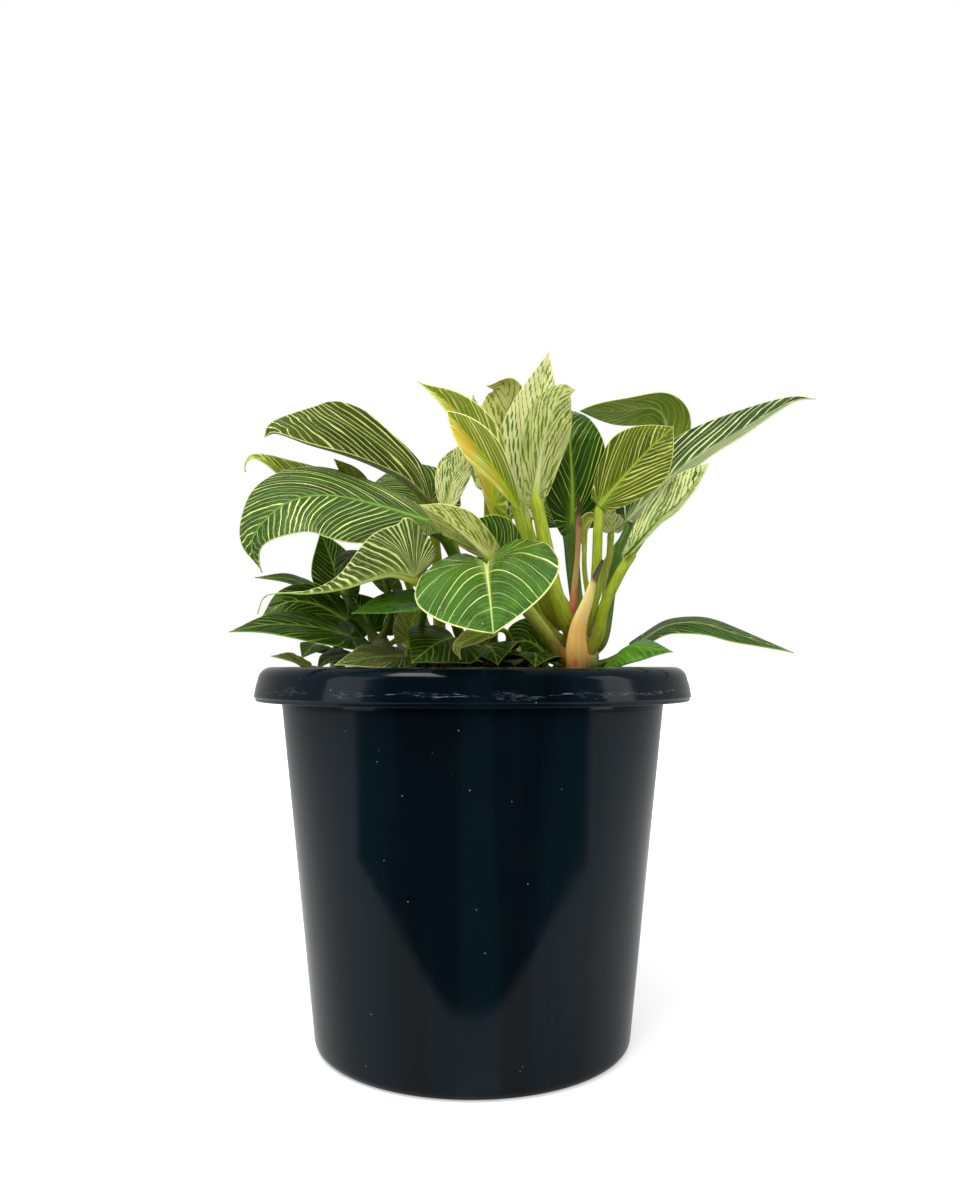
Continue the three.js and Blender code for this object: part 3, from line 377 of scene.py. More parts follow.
class Line:
    """A smooth line through points, which point() finds by the share of its length."""

    def __init__(self, points, steps=200):
        self.knots = [Vector(p) for p in points]
        self.samples = [self._on(i / steps) for i in range(steps + 1)]
        self.reached = [0.0]
        for a, b in zip(self.samples, self.samples[1:]):
            self.reached.append(self.reached[-1] + (b - a).length)
        self.length = self.reached[-1]

    def _on(self, share):
        place = share * (len(self.knots) - 1)
        i = min(int(place), len(self.knots) - 2)
        w = place - i
        start, end = self.knots[i], self.knots[i + 1]
        before = self.knots[i - 1] if i > 0 else 2 * start - end
        after = self.knots[i + 2] if i + 2 < len(self.knots) else 2 * end - start
        leave, arrive = (end - before) / 2, (after - start) / 2
        return (
            start * (2 * w**3 - 3 * w**2 + 1)
            + leave * (w**3 - 2 * w**2 + w)
            + end * (3 * w**2 - 2 * w**3)
            + arrive * (w**3 - w**2)
        )

    def point(self, share):
        target = clamped(share) * self.length
        low, high = 0, len(self.reached) - 1
        while high - low > 1:
            middle = (low + high) // 2
            if self.reached[middle] <= target:
                low = middle
            else:
                high = middle
        step = self.reached[high] - self.reached[low]
        return self.samples[low].lerp(self.samples[high], (target - self.reached[low]) / step)

    def tangent(self, share):
        near = 0.004
        return (self.point(share + near) - self.point(share - near)).normalized()


def flattened(face, tangent):
    return (face - tangent * face.dot(tangent)).normalized()


def wrapped(bm, around, along, place):
    """A closed tube or cone: a grid whose points place(turn, share) are merged along the seam."""
    layer = bm.loops.layers.uv.new("Round")
    made = bmesh.ops.create_grid(bm, x_segments=around, y_segments=along, size=0.5)["verts"]
    spots = {vert: (vert.co.x + 0.5, vert.co.y + 0.5) for vert in made}
    for face in {face for vert in made for face in vert.link_faces}:
        for loop in face.loops:
            loop[layer].uv = spots[loop.vert]
    for vert, (turn, share) in spots.items():
        vert.co = place(turn, share) * MM
    bmesh.ops.remove_doubles(bm, verts=made, dist=0.002 * MM)
    kept = [vert for vert in made if vert.is_valid]
    bmesh.ops.holes_fill(bm, edges=[e for e in bm.edges if e.is_boundary], sides=around + 1)
    return kept


def finished(bm, name, node, materials, smooth=True):
    """The piece as an object at the origin that rides on the root and stands for its solid."""
    mesh = bpy.data.meshes.new(name)
    bm.to_mesh(mesh)
    bm.free()
    for material in materials:
        mesh.materials.append(material)
    for polygon in mesh.polygons:
        polygon.use_smooth = smooth
    piece = bpy.data.objects.new(name, mesh)
    bpy.context.scene.collection.objects.link(piece)
    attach(piece, "root")
    if node:
        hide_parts(node)
    return piece


# ---- shaders ------------------------------------------------------------------------------------


class Shader:
    """A material under construction: short calls that add a node and return its output."""

    def __init__(self, name):
        self.material = bpy.data.materials.new(name)
        self.material.use_nodes = True
        self.tree = self.material.node_tree
        self.surface = self.tree.nodes["Principled BSDF"]

    def add(self, kind, **settings):
        node = self.tree.nodes.new(kind)
        for key, value in settings.items():
            setattr(node, key, value)
        return node

    def feed(self, socket, value):
        if isinstance(value, bpy.types.NodeSocket):
            self.tree.links.new(value, socket)
        else:
            socket.default_value = value

    def set(self, **values):
        for name, value in values.items():
            self.feed(self.surface.inputs[name.replace("_", " ")], value)

    def math(self, operation, a, b=0.0):
        node = self.add("ShaderNodeMath", operation=operation)
        self.feed(node.inputs[0], a)
        self.feed(node.inputs[1], b)
        return node.outputs[0]

    def times(self, a, b):
        return self.math("MULTIPLY", a, b)

    def plus(self, a, b):
        return self.math("ADD", a, b)

    def mix(self, share, a, b):
        node = self.add("ShaderNodeMix", data_type="RGBA")
        self.feed(node.inputs[0], share)
        self.feed(node.inputs[6], a)
        self.feed(node.inputs[7], b)
        return node.outputs[2]

    def ramp(self, value, start, end, low=0.0, high=1.0):
        node = self.add("ShaderNodeMapRange", interpolation_type="SMOOTHSTEP")
        for socket, given in zip(node.inputs, (value, start, end, low, high)):
            self.feed(socket, given)
        return node.outputs[0]

    def vector(self, x, y, z):
        node = self.add("ShaderNodeCombineXYZ")
        for socket, given in zip(node.inputs, (x, y, z)):
            self.feed(socket, given)
        return node.outputs[0]

    def parts(self, vector):
        node = self.add("ShaderNodeSeparateXYZ")
        self.feed(node.inputs[0], vector)
        return node.outputs[0], node.outputs[1], node.outputs[2]

    def noise(self, vector, scale=1.0, detail=2.0, roughness=0.5):
        node = self.add("ShaderNodeTexNoise")
        self.feed(node.inputs["Vector"], vector)
        node.inputs["Scale"].default_value = scale
        node.inputs["Detail"].default_value = detail
        node.inputs["Roughness"].default_value = roughness
        return node.outputs[0]

    def dots(self, vector, scale, size):
        """1 in small round spots, one in each cell."""
        node = self.add("ShaderNodeTexVoronoi")
        self.feed(node.inputs["Vector"], vector)
        node.inputs["Scale"].default_value = scale
        return self.ramp(node.outputs["Distance"], size, size * 0.6)

    def uv(self, name):
        return self.add("ShaderNodeUVMap", uv_map=name).outputs[0]

    def marks(self, name):
        return self.add("ShaderNodeAttribute", attribute_name=name).outputs["Vector"]

    def place(self):
        return self.add("ShaderNodeTexCoord").outputs["Object"]

    def bump(self, height, distance, strength):
        node = self.add("ShaderNodeBump")
        node.inputs["Strength"].default_value = strength
        node.inputs["Distance"].default_value = distance
        self.feed(node.inputs["Height"], height)
        self.set(Normal=node.outputs[0])


# ---- leaf colours -------------------------------------------------------------------------------


@dataclass
class Look:
    """A blade's colouring: its two greens, its side stripes, how many there are on the length of the
    midrib, their share of it and how far forward they run, and how far they break up into dashes."""

    deep: tuple
    light: tuple
    stripe: tuple
    rib: tuple
    lines: float
    cover: float
    slant: float = 0.5
    bow: float = 1.2
    fine: float = 0.5
    dash: float = 0.0
    soft: float = 0.14
    drift: float = 0.9
    margin: float = 0.5
    tinge: float = 0.0
    # right: a ground colour for the right half that stands in for light there, either a pale painted sheen
    # or a dark painted shade
    right: tuple = ()
    back: float = 0.3
    gloss: float = 0.36
    shine: float = 0.2
    flecks: float = 0.35


LOOKS = {
    "pinstriped": Look((0.002, 0.019, 0.002), (0.011, 0.055, 0.002), (0.54, 0.60, 0.18),
                       (0.14, 0.27, 0.03), 25, 0.13, slant=0.42, fine=0.2, gloss=0.34, shine=0.28),
    "banded_dark": Look((0.002, 0.016, 0.001), (0.007, 0.037, 0.002), (0.32, 0.41, 0.059),
                        (0.10, 0.20, 0.02), 14, 0.15, fine=0.2),
    # This look's right half gets a pale grey-green ground: painted sheen, not the leaf's own colour
    "two_toned": Look((0.003, 0.021, 0.004), (0.01, 0.045, 0.005), (0.53, 0.56, 0.26),
                      (0.30, 0.38, 0.16), 10, 0.15, slant=0.7, fine=0.15, right=(0.20, 0.25, 0.12)),
    "sunlit": Look((0.098, 0.17, 0.009), (0.18, 0.28, 0.025), (0.45, 0.50, 0.14),
                   (0.34, 0.44, 0.12), 10, 0.15, fine=0.3, back=0.05),
    "olive": Look((0.008, 0.02, 0.0005), (0.029, 0.052, 0.001), (0.49, 0.51, 0.17),
                  (0.26, 0.32, 0.06), 14, 0.12, slant=0.85, fine=0.2, drift=1.6),
    "olive_dense": Look((0.021, 0.038, 0.0004), (0.059, 0.089, 0.001), (0.48, 0.50, 0.13),
                        (0.24, 0.31, 0.03), 12, 0.14, slant=0.75, fine=0.3, drift=1.1),
    "banded": Look((0.007, 0.022, 0.0004), (0.027, 0.057, 0.002), (0.47, 0.51, 0.19),
                   (0.30, 0.36, 0.09), 18, 0.17, slant=0.45, fine=0.45, soft=0.3, drift=1.1, margin=1.0),
    # Its many pale flecks are painted glints as well as dust
    "bold": Look((0.01, 0.054, 0.001), (0.034, 0.12, 0.003), (0.66, 0.70, 0.28),
                 (0.50, 0.57, 0.18), 6.0, 0.055, slant=1.25, bow=1.7, fine=0.1, soft=0.05,
                 drift=0.35, margin=0.9, gloss=0.2, shine=0.4, flecks=0.8),
    "sparse": Look((0.002, 0.018, 0.002), (0.006, 0.041, 0.002), (0.33, 0.42, 0.043),
                   (0.18, 0.28, 0.02), 10, 0.09, slant=0.65, fine=0.15, soft=0.08, gloss=0.3, shine=0.25),
    "deep": Look((0.002, 0.012, 0.0006), (0.008, 0.033, 0.001), (0.12, 0.21, 0.013),
                 (0.18, 0.26, 0.03), 8, 0.13, slant=0.8, fine=0.3, soft=0.15, shine=0.25),
    "lime": Look((0.073, 0.11, 0.001), (0.15, 0.20, 0.004), (0.50, 0.51, 0.17),
                 (0.40, 0.50, 0.04), 12, 0.26, fine=0.4, soft=0.3),
    # This look's right half gets a dark green ground: painted shade
    "flushed": Look((0.24, 0.30, 0.012), (0.42, 0.46, 0.04), (0.70, 0.68, 0.26),
                    (0.46, 0.58, 0.03), 9, 0.2, slant=0.8, fine=0.3, soft=0.25, tinge=0.55,
                    right=(0.13, 0.21, 0.012), back=0.0),
    "cream": Look((0.48, 0.49, 0.18), (0.61, 0.60, 0.29), (0.07, 0.15, 0.005),
                  (0.42, 0.50, 0.12), 10, 0.45, slant=0.7, fine=0.1, dash=1.0, soft=0.2,
                  margin=0.3, back=0.1),
    "beige": Look((0.30, 0.33, 0.11), (0.40, 0.43, 0.16), (0.09, 0.14, 0.008),
                  (0.40, 0.44, 0.18), 8, 0.5, slant=0.8, fine=0.0, dash=1.0, soft=0.3,
                  margin=0.3, back=0.0),
    "cream_green": Look((0.44, 0.47, 0.17), (0.58, 0.61, 0.28), (0.035, 0.11, 0.003),
                        (0.045, 0.12, 0.006), 11, 0.66, slant=0.6, fine=0.2, dash=0.7, soft=0.2,
                        margin=0.3),
    "butter": Look((0.50, 0.50, 0.14), (0.63, 0.62, 0.22), (0.16, 0.23, 0.012),
                   (0.54, 0.57, 0.20), 8, 0.42, slant=0.8, fine=0.0, dash=1.0, soft=0.25,
                   margin=0.3, back=0.0),
    "plain": Look((0.018, 0.075, 0.003), (0.055, 0.16, 0.008), (0.10, 0.25, 0.02),
                  (0.10, 0.22, 0.01), 8, 0.06, fine=0.1, margin=0.2, gloss=0.26, shine=0.3),
    "plain_dark": Look((0.005, 0.029, 0.002), (0.016, 0.061, 0.002), (0.23, 0.33, 0.054),
                       (0.28, 0.38, 0.08), 8, 0.07, fine=0.25, margin=0.4, gloss=0.32),
}
UNDERSIDE = (0.20, 0.25, 0.07)
TINGE = (0.58, 0.30, 0.02, 1.0)
LEAF_SHINE = (0.78, 1.0, 0.38, 1)
# Colour of the pale flecks on the blades: dust, and painted glints where flecks are many, as on the bold
# look
DUST_AND_GLINT = (0.62, 0.68, 0.55, 1.0)


def paler(colour, share):
    """The same colour as it shows on a blade's underside."""
    return tuple(mixed(a, b, share) for a, b in zip(colour, UNDERSIDE))


def rgba(colour):
    return (*colour, 1.0)


def vein_lines(shader, vein, out, half, count, cover, soft, dash, drift):
    """Lines from the midrib to the margin: each has its own width, which changes on the way."""
    sway = shader.noise(shader.vector(shader.times(vein, count * 0.4), shader.times(out, 2.2), half))
    place = shader.plus(shader.times(vein, count), shader.times(shader.math("SUBTRACT", sway, 0.5), drift))
    index = shader.math("FLOOR", place)
    away = shader.math("ABSOLUTE", shader.math("SUBTRACT", shader.math("FRACT", place), 0.5))
    own = shader.noise(shader.vector(shader.times(index, 7.31), 0.5, half), detail=0.0)
    along = shader.noise(shader.vector(shader.times(index, 3.7), shader.times(out, 3.0 + 9.0 * dash), half))
    width = shader.times(shader.ramp(own, 0.25, 0.75, 0.25, 1.7), shader.ramp(along, 0.25, 0.75, 0.45, 1.3))
    if dash:
        width = shader.times(width, shader.ramp(along, 0.46, 0.46 + 0.06 / dash, 1.0 - dash, 1.0))
    edge = shader.times(width, cover / 2)
    line = shader.ramp(away, shader.plus(edge, soft * 0.5), shader.math("SUBTRACT", edge, 0.01))
    strong = shader.noise(shader.vector(shader.times(index, 5.3), shader.times(out, 0.7), half), detail=0.0)
    return shader.times(line, shader.ramp(strong, 0.32, 0.6, 0.35 + 0.5 * dash, 1.0))


def blade_material(name, look, back):
    """Stripes that run from the midrib to the margin, over a green that changes in patches."""
    shader = Shader(name)
    share = look.back if back else 0.0
    deep, light = paler(look.deep, share), paler(look.light, share)
    stripe, rib = paler(look.stripe, share * 0.4), paler(look.rib, share)
    across, vein, _ = shader.parts(shader.uv("Blade"))
    from_rib, to_margin, seed = shader.parts(shader.marks("marks"))
    out = shader.math("ABSOLUTE", across)
    half = shader.plus(seed, shader.times(shader.math("GREATER_THAN", across, 0.0), 3.7))
    spot = shader.vector(shader.times(vein, look.lines * 0.3), shader.times(out, 1.6), half)
    patches = shader.noise(spot, detail=2.0)
    fibre = shader.noise(
        shader.vector(shader.times(vein, look.lines * 7), shader.times(out, 6.0), half), detail=2.0
    )
    bold = vein_lines(shader, vein, out, half, look.lines, look.cover, look.soft, look.dash, look.drift)
    last = 1.0 - 0.9 / look.lines
    bold = shader.times(bold, shader.ramp(vein, last + 0.03, last))
    thin_half = shader.plus(half, 11.0)
    thin = vein_lines(shader, vein, out, thin_half, look.lines * 3.3, 0.34, 0.3, 0.7, look.drift)
    ground = shader.mix(shader.ramp(patches, 0.32, 0.66), rgba(deep), rgba(light))
    ground = shader.mix(shader.ramp(fibre, 0.4, 0.7, 0.0, 0.55), ground, rgba(light))
    right_half = shader.math("GREATER_THAN", across, 0.0)
    # Painted light: where a look gives one, the right half's ground becomes a painted sheen or a painted
    # shade
    if look.right:
        ground = shader.mix(shader.times(right_half, 0.85), ground, rgba(look.right))
    between = rgba(tuple(mixed(a, b, 0.55) for a, b in zip(light, stripe)))
    striped = shader.mix(shader.times(thin, look.fine), ground, between)
    fading = shader.mix(shader.ramp(from_rib, 1.0, 8.0), rgba(rib), rgba(stripe))
    striped = shader.mix(bold, striped, rgba(stripe) if look.dash else fading)
    if look.tinge:
        blotch = shader.noise(shader.place(), scale=45.0, detail=2.0)
        flush = shader.ramp(blotch, 0.45, 0.62, 0.0, look.tinge)
        left_half = shader.math("SUBTRACT", 1.0, right_half)
        striped = shader.mix(shader.times(flush, left_half), striped, TINGE)
    pale = rgba(light) if look.dash else rgba(stripe)
    hem = shader.plus(to_margin, shader.times(fibre, 0.5))
    striped = shader.mix(shader.ramp(hem, look.margin + 0.3, look.margin * 0.5), striped, pale)
    near = shader.times(shader.ramp(from_rib, 4.5, 0.9), 0.3)
    striped = shader.mix(near, striped, rgba(rib))
    colour = shader.mix(shader.ramp(from_rib, 1.3, 0.7), striped, rgba(rib))
    # Pale flecks: real dust, and on looks with many flecks, painted glints
    dusty = shader.ramp(fibre, 0.5, 0.6, 0.0, look.flecks)
    dust_and_glints = shader.times(shader.dots(shader.place(), 320, 0.1), dusty)
    colour = shader.mix(dust_and_glints, colour, DUST_AND_GLINT)
    cloud = shader.noise(shader.place(), scale=70.0, detail=3.0)
    gloss = look.gloss + (0.16 if back else 0.0)
    shader.set(Base_Color=colour, Roughness=shader.ramp(cloud, 0.3, 0.7, gloss - 0.06, gloss + 0.12))
    shader.set(Specular_IOR_Level=look.shine * (0.6 if back else 1.0), Specular_Tint=LEAF_SHINE)
    relief = shader.plus(shader.times(bold, -0.5), shader.times(fibre, 0.35))
    shader.bump(relief, 0.0005, 0.5 if back else 0.35)
    return shader.material


@dataclass
class Stem:
    """A stalk's colouring: foot, middle and top, and the colour of its fine streaks."""

    foot: tuple
    middle: tuple
    top: tuple
    streak: tuple


STEMS = {
    "green": Stem((0.22, 0.27, 0.04), (0.07, 0.15, 0.010), (0.15, 0.25, 0.016), (0.03, 0.08, 0.006)),
    "dark": Stem((0.14, 0.19, 0.02), (0.060, 0.13, 0.007), (0.085, 0.17, 0.010), (0.030, 0.070, 0.004)),
    "lime": Stem((0.42, 0.36, 0.06), (0.27, 0.33, 0.015), (0.33, 0.41, 0.03), (0.13, 0.19, 0.006)),
    "cream": Stem((0.56, 0.24, 0.11), (0.40, 0.42, 0.07), (0.46, 0.50, 0.14), (0.18, 0.24, 0.014)),
}
STEM_OF_LOOK = {
    "pinstriped": "green", "banded_dark": "dark", "olive": "lime", "olive_dense": "lime",
    "banded": "lime", "bold": "cream", "sparse": "dark", "deep": "dark", "lime": "lime",
    "flushed": "lime", "cream": "lime", "beige": "lime", "cream_green": "lime", "butter": "lime",
    "plain": "dark", "plain_dark": "dark", "two_toned": "dark", "sunlit": "lime",
}


def stalk_material(name, stem, rib):
    """Fine streaks along the stalk, over a colour that changes from its foot to the blade's rib."""
    shader = Shader(name)
    turn, share, _ = shader.parts(shader.uv("Round"))
    seed, length, _ = shader.parts(shader.marks("marks"))
    blade_from = STALK_STEPS / (STALK_STEPS + RIB_STATIONS)
    ring = shader.times(shader.math("SINE", shader.times(turn, 2 * math.pi)), 1.6)
    other = shader.times(shader.math("COSINE", shader.times(turn, 2 * math.pi)), 1.6)
    fibres = shader.noise(shader.vector(shader.times(ring, 5.0), shader.times(other, 5.0),
                                        shader.plus(shader.times(length, 0.12), seed)), detail=3.0)
    mottle = shader.noise(shader.place(), scale=260.0, detail=3.0)
    lower = shader.mix(shader.ramp(share, 0.0, 0.3), rgba(stem.foot), rgba(stem.middle))
    colour = shader.mix(shader.ramp(share, 0.45, 0.85), lower, rgba(stem.top))
    colour = shader.mix(shader.ramp(fibres, 0.45, 0.62, 0.0, 0.75), colour, rgba(stem.streak))
    colour = shader.mix(shader.ramp(mottle, 0.55, 0.68, 0.0, 0.35), colour, rgba(stem.top))
    colour = shader.mix(shader.ramp(share, blade_from - 0.01, blade_from + 0.08), colour, rgba(rib))
    shader.set(Base_Color=colour, Roughness=shader.ramp(mottle, 0.3, 0.7, 0.32, 0.5))
    shader.set(Specular_IOR_Level=0.25)
    shader.bump(fibres, 0.0004, 0.5)
    return shader.material


# ---- leaves -------------------------------------------------------------------------------------


class Midrib:
    """A leaf's midrib, with the blade's face carried along it without turning."""

    def __init__(self, leaf):
        self.line = Line(leaf.midrib)
        steps = RIB_STEPS
        self.points = [self.line.point(i / steps) for i in range(steps + 1)]
        self.tangents = [self.line.tangent(i / steps) for i in range(steps + 1)]
        faces = [None] * (steps + 1)
        middle = steps // 2
        faces[middle] = flattened(Vector(leaf.face), self.tangents[middle])
        for i in range(middle + 1, steps + 1):
            faces[i] = flattened(faces[i - 1], self.tangents[i])
        for i in range(middle - 1, -1, -1):
            faces[i] = flattened(faces[i + 1], self.tangents[i])
        for i, tangent in enumerate(self.tangents):
            faces[i].rotate(Quaternion(tangent, math.radians(leaf.twist) * (i / steps - 0.5)))
        self.faces = faces

    def frame(self, x):
        """Point, tangent, face and side at share x; below 0 it runs on straight behind."""
        share = clamped(x)
        i = min(int(share * RIB_STEPS), RIB_STEPS - 1)
        w = share * RIB_STEPS - i
        tangent = self.tangents[i].lerp(self.tangents[i + 1], w).normalized()
        face = flattened(self.faces[i].lerp(self.faces[i + 1], w), tangent)
        point = self.points[i].lerp(self.points[i + 1], w) + tangent * (x - share) * self.line.length
        return point, tangent, face, tangent.cross(face)


def half_width(leaf, t):
    rise = leaf.taper * (leaf.widest + BLADE_HEEL) / (1 - leaf.widest)
    shape = ((t + BLADE_HEEL) / (leaf.widest + BLADE_HEEL)) ** rise
    shape *= ((1 - t) / (1 - leaf.widest)) ** leaf.taper
    return max(leaf.width / 2 * shape, BLADE_TIP)


def vein_spot(leaf, s, t):
    """Share of the midrib, and distance from it, at share s of the way out along side vein t."""
    out = abs(s)
    forward = leaf.sweep * out**2 * (1 - t) * min(1, t / SWEEP_FROM)
    back = leaf.lobe * (1 - t) ** LOBE_FADE * math.sin(LOBE_TURN * out)
    return t + forward - back, out * half_width(leaf, t)


def blade_point(leaf, rib, s, t, seed):
    """The point of side vein t at share s of the way out to the right margin, or the left one."""
    x, distance = vein_spot(leaf, s, t)
    point, _, face, side = rib.frame(x)
    half = 0 if s < 0 else 1
    reach = leaf.width / 2
    fold = math.radians(leaf.fold[half])
    bend = math.radians(leaf.curl[half]) / reach or TINY
    end = fold + bend * distance
    across = (math.sin(end) - math.sin(fold)) / bend
    lift = (math.cos(fold) - math.cos(end)) / bend
    share = distance / reach
    lift += leaf.wave * share**2 * math.sin(2 * math.pi * (3 * x + 0.37 * half))
    lift += MARGIN_RIPPLE * share**2 * noise.noise(Vector((x * 5, half * 4, seed)))
    lift += vein_relief(leaf, s, t, distance)
    return point + side * math.copysign(1.0, s) * across + face * lift


def vein_place(leaf, s, t):
    """Which stripe a point of the blade lies on. Stripes leave the midrib and bend forward; those
    of the lobes, below 0, spread from the blade's base."""
    x, distance = vein_spot(leaf, s, t)
    look = LOOKS[leaf.look]
    bend = look.slant * (distance / (leaf.width / 2)) ** look.bow + TINY
    return x - bend if x > bend else max(x / bend - 1, -4) * LOBE_VEINS


def vein_relief(leaf, s, t, distance):
    """Low ridges between the side veins, and a shallow valley along the midrib."""
    veins = LOOKS[leaf.look].lines * RIDGES_PER_LINE
    depth = VEIN_RIDGE * min(1, leaf.width / 50)
    ridges = math.cos(2 * math.pi * veins * vein_place(leaf, s, t)) * math.sin(math.pi * abs(s)) * depth
    return ridges - VALLEY_DEPTH * math.exp(-distance / VALLEY_WIDTH) * (1 - t)


def rib_radius(leaf, x):
    rest = max(1 - x / RIB_REACH, 0.0)
    return leaf.stalk[1] * 0.7 * rest**3 + 0.25 * rest + 0.15


def build_blade(leaf, rib, seed, materials):
    bm = bmesh.new()
    stripes = bm.loops.layers.uv.new("Blade")
    marks = bm.verts.layers.float_vector.new("marks")
    bmesh.ops.create_grid(bm, x_segments=BLADE_COLUMNS, y_segments=BLADE_ROWS, size=1)
    spots = {v: (v.co.x, ((v.co.y + 1) / 2) ** 1.1) for v in bm.verts}
    for vert, (s, t) in spots.items():
        distance = abs(s) * half_width(leaf, t)
        vert[marks] = (distance / (rib_radius(leaf, t) * 0.6 + 0.1), half_width(leaf, t) - distance, seed)
        vert.co = blade_point(leaf, rib, s, t, seed) * MM
    for face in bm.faces:
        for loop in face.loops:
            s, t = spots[loop.vert]
            loop[stripes].uv = (s, vein_place(leaf, s, t))
    piece = finished(bm, f"leaf_{leaf.name}_blade", f"leaf_{leaf.name}", materials)
    shell = piece.modifiers.new("thickness", "SOLIDIFY")
    shell.thickness = BLADE_THICKNESS * MM
    shell.offset = 0
    shell.material_offset = 1
    shell.material_offset_rim = 1
    return piece


def crown_point(crown, height):
    share = max(height, 0) / crown.rise
    x, y = crown.at
    return Vector((x + crown.lean[0] * share, y + crown.lean[1] * share, MIX_TOP + height))


def stalk_stations(leaf, rib):
    """Centre and radius from the crown's axis to the blade, and on under it as its midrib."""
    foot = crown_point(CROWNS[leaf.crown], leaf.foot)
    top = Vector(leaf.midrib[0])
    middle = (foot + top) / 2 + Vector((0, 0, (top - foot).length * STALK_ARCH))
    line = Line([foot, *(leaf.bends or [middle]), top])
    _, _, first_face, _ = rib.frame(0)
    sunk = rib_radius(leaf, 0) * RIB_SINK
    stations = []
    for i in range(STALK_STEPS):
        share = i / STALK_STEPS
        radius = mixed(leaf.stalk[0], leaf.stalk[1], share)
        radius += STALK_FLARE * (1 - share) ** 10 + 0.25 * math.exp(-(((share - 0.95) / 0.03) ** 2))
        centre = line.point(share) - first_face * sunk * eased((share - 0.8) / 0.2)
        stations.append((centre, radius))
    for i in range(RIB_STATIONS + 1):
        x = RIB_REACH * i / RIB_STATIONS
        centre, _, face, _ = rib.frame(x)
        radius = rib_radius(leaf, x)
        stations.append((centre - face * radius * RIB_SINK, radius))
    return stations, line.length


def carried(points, start):
    """A tangent, and two directions across it, at each point, carried along without turning."""
    frames = []
    across = Vector(start)
    for i, point in enumerate(points):
        before, after = points[max(i - 1, 0)], points[min(i + 1, len(points) - 1)]
        tangent = (after - before).normalized()
        across = flattened(across, tangent)
        frames.append((tangent, across.copy(), tangent.cross(across)))
    return frames


def build_stalk(leaf, rib, seed, material):
    stations, length = stalk_stations(leaf, rib)
    frames = carried([centre for centre, _ in stations], leaf.face)
    last = len(stations) - 1

    def place(turn, share):
        i = round(share * last)
        centre, radius = stations[i]
        _, up, side = frames[i]
        angle = 2 * math.pi * turn
        groove = 1 - 0.22 * max(0.0, math.cos(angle)) ** 4 * eased(share * 4)
        return centre + (up * math.cos(angle) * groove + side * math.sin(angle)) * radius

    bm = bmesh.new()
    marks = bm.verts.layers.float_vector.new("marks")
    kept = wrapped(bm, STALK_SIDES, last, place)
    start = stations[0][0] * MM
    for vert in kept:
        vert[marks] = (seed, (vert.co - start).length / MM, 0)
    bmesh.ops.recalc_face_normals(bm, faces=bm.faces)
    return finished(bm, f"leaf_{leaf.name}_stalk", f"leaf_{leaf.name}", [material])


def build_leaves():
    blades = {}
    for look in sorted({leaf.look for leaf in LEAVES}):
        face = blade_material(f"{look} blade", LOOKS[look], False)
        back = blade_material(f"{look} underside", LOOKS[look], True)
        blades[look] = [face, back]
    stalks = {}
    for look, stem in STEM_OF_LOOK.items():
        stalks[look] = stalk_material(f"{look} stalk", STEMS[stem], LOOKS[look].rib)
    for number, leaf in enumerate(LEAVES):
        rib = Midrib(leaf)
        build_blade(leaf, rib, number * 1.7, blades[leaf.look])
        build_stalk(leaf, rib, number * 1.7, stalks[leaf.look])


# ---- crowns and sheaths -------------------------------------------------------------------------


def crown_material():
    shader = Shader("crown skin")
    place = shader.place()
    mottle = shader.noise(place, scale=160.0, detail=4.0)
    x, y, z = shader.parts(place)
    squashed = shader.vector(shader.times(x, 30.0), shader.times(y, 30.0), shader.times(z, 700.0))
    rings = shader.noise(squashed)
    colour = shader.mix(shader.ramp(mottle, 0.35, 0.65), (0.10, 0.12, 0.03, 1), (0.30, 0.30, 0.10, 1))
    colour = shader.mix(shader.ramp(rings, 0.5, 0.62, 0.0, 0.8), colour, (0.12, 0.06, 0.03, 1))
    shader.set(Base_Color=colour, Roughness=shader.ramp(mottle, 0.3, 0.7, 0.5, 0.75))
    shader.bump(rings, 0.0012, 0.6)
    return shader.material


def build_crown(name, crown, material):
    """A stem ringed by the scars of past leaves, standing in the mix."""
    girths = [(-CROWN_BURIED, 0.7), (-CROWN_BURIED / 2, 1.0), (0, 1.0), (0.5, 0.9), (0.85, 0.72), (1, 0.45)]
    heights = [h if h < 0 else h * crown.rise for h, _ in girths]

    def girth_at(height):
        for (low, high), ((_, a), (_, b)) in zip(zip(heights, heights[1:]), zip(girths, girths[1:])):
            if height <= high:
                return mixed(a, b, (height - low) / (high - low))
        return girths[-1][1]

    def place(turn, share):
        height = mixed(-CROWN_BURIED, crown.rise, share)
        angle = 2 * math.pi * turn
        slope = height + 1.5 * math.sin(angle + height * 0.7)
        ring = 0.05 * abs(math.sin(slope * 0.85)) if height > 0 else 0
        radius = crown.radius * (girth_at(height) * (0.95 + ring))
        return crown_point(crown, height) + Vector((math.cos(angle), math.sin(angle), 0)) * radius

    bm = bmesh.new()
    wrapped(bm, CROWN_SIDES, CROWN_RINGS, place)
    bmesh.ops.recalc_face_normals(bm, faces=bm.faces)
    return finished(bm, f"crown_{name}", f"crown_{name}", [material])


@dataclass
class Sheath:
    """A papery leaf sheath: its foot on its crown, the points it rises through and its radii."""

    name: str
    slot: str
    foot: float
    flat: float
    points: list
    radii: list


SHEATH_STEPS = 60
SHEATH_SIDES = 68
SHEATH_RIBS = 17
SHEATHS = [
    Sheath("big", "sheath", 2, 0.4,
           [(58, -33, 214), (58, -37, 232), (64, -34, 249), (68, -32, 261), (73, -30, 272)],
           [9.5, 9.5, 8.6, 5.6, 3.4, 1]),
    Sheath("red", "blush", 24, 0.6,
           [(57, -20, 240), (58, -19, 256), (60, -18, 276), (61, -17, 297), (61, -17, 311)],
           [2.6, 2.6, 2.1, 1.7, 1.8, 0.6]),
]


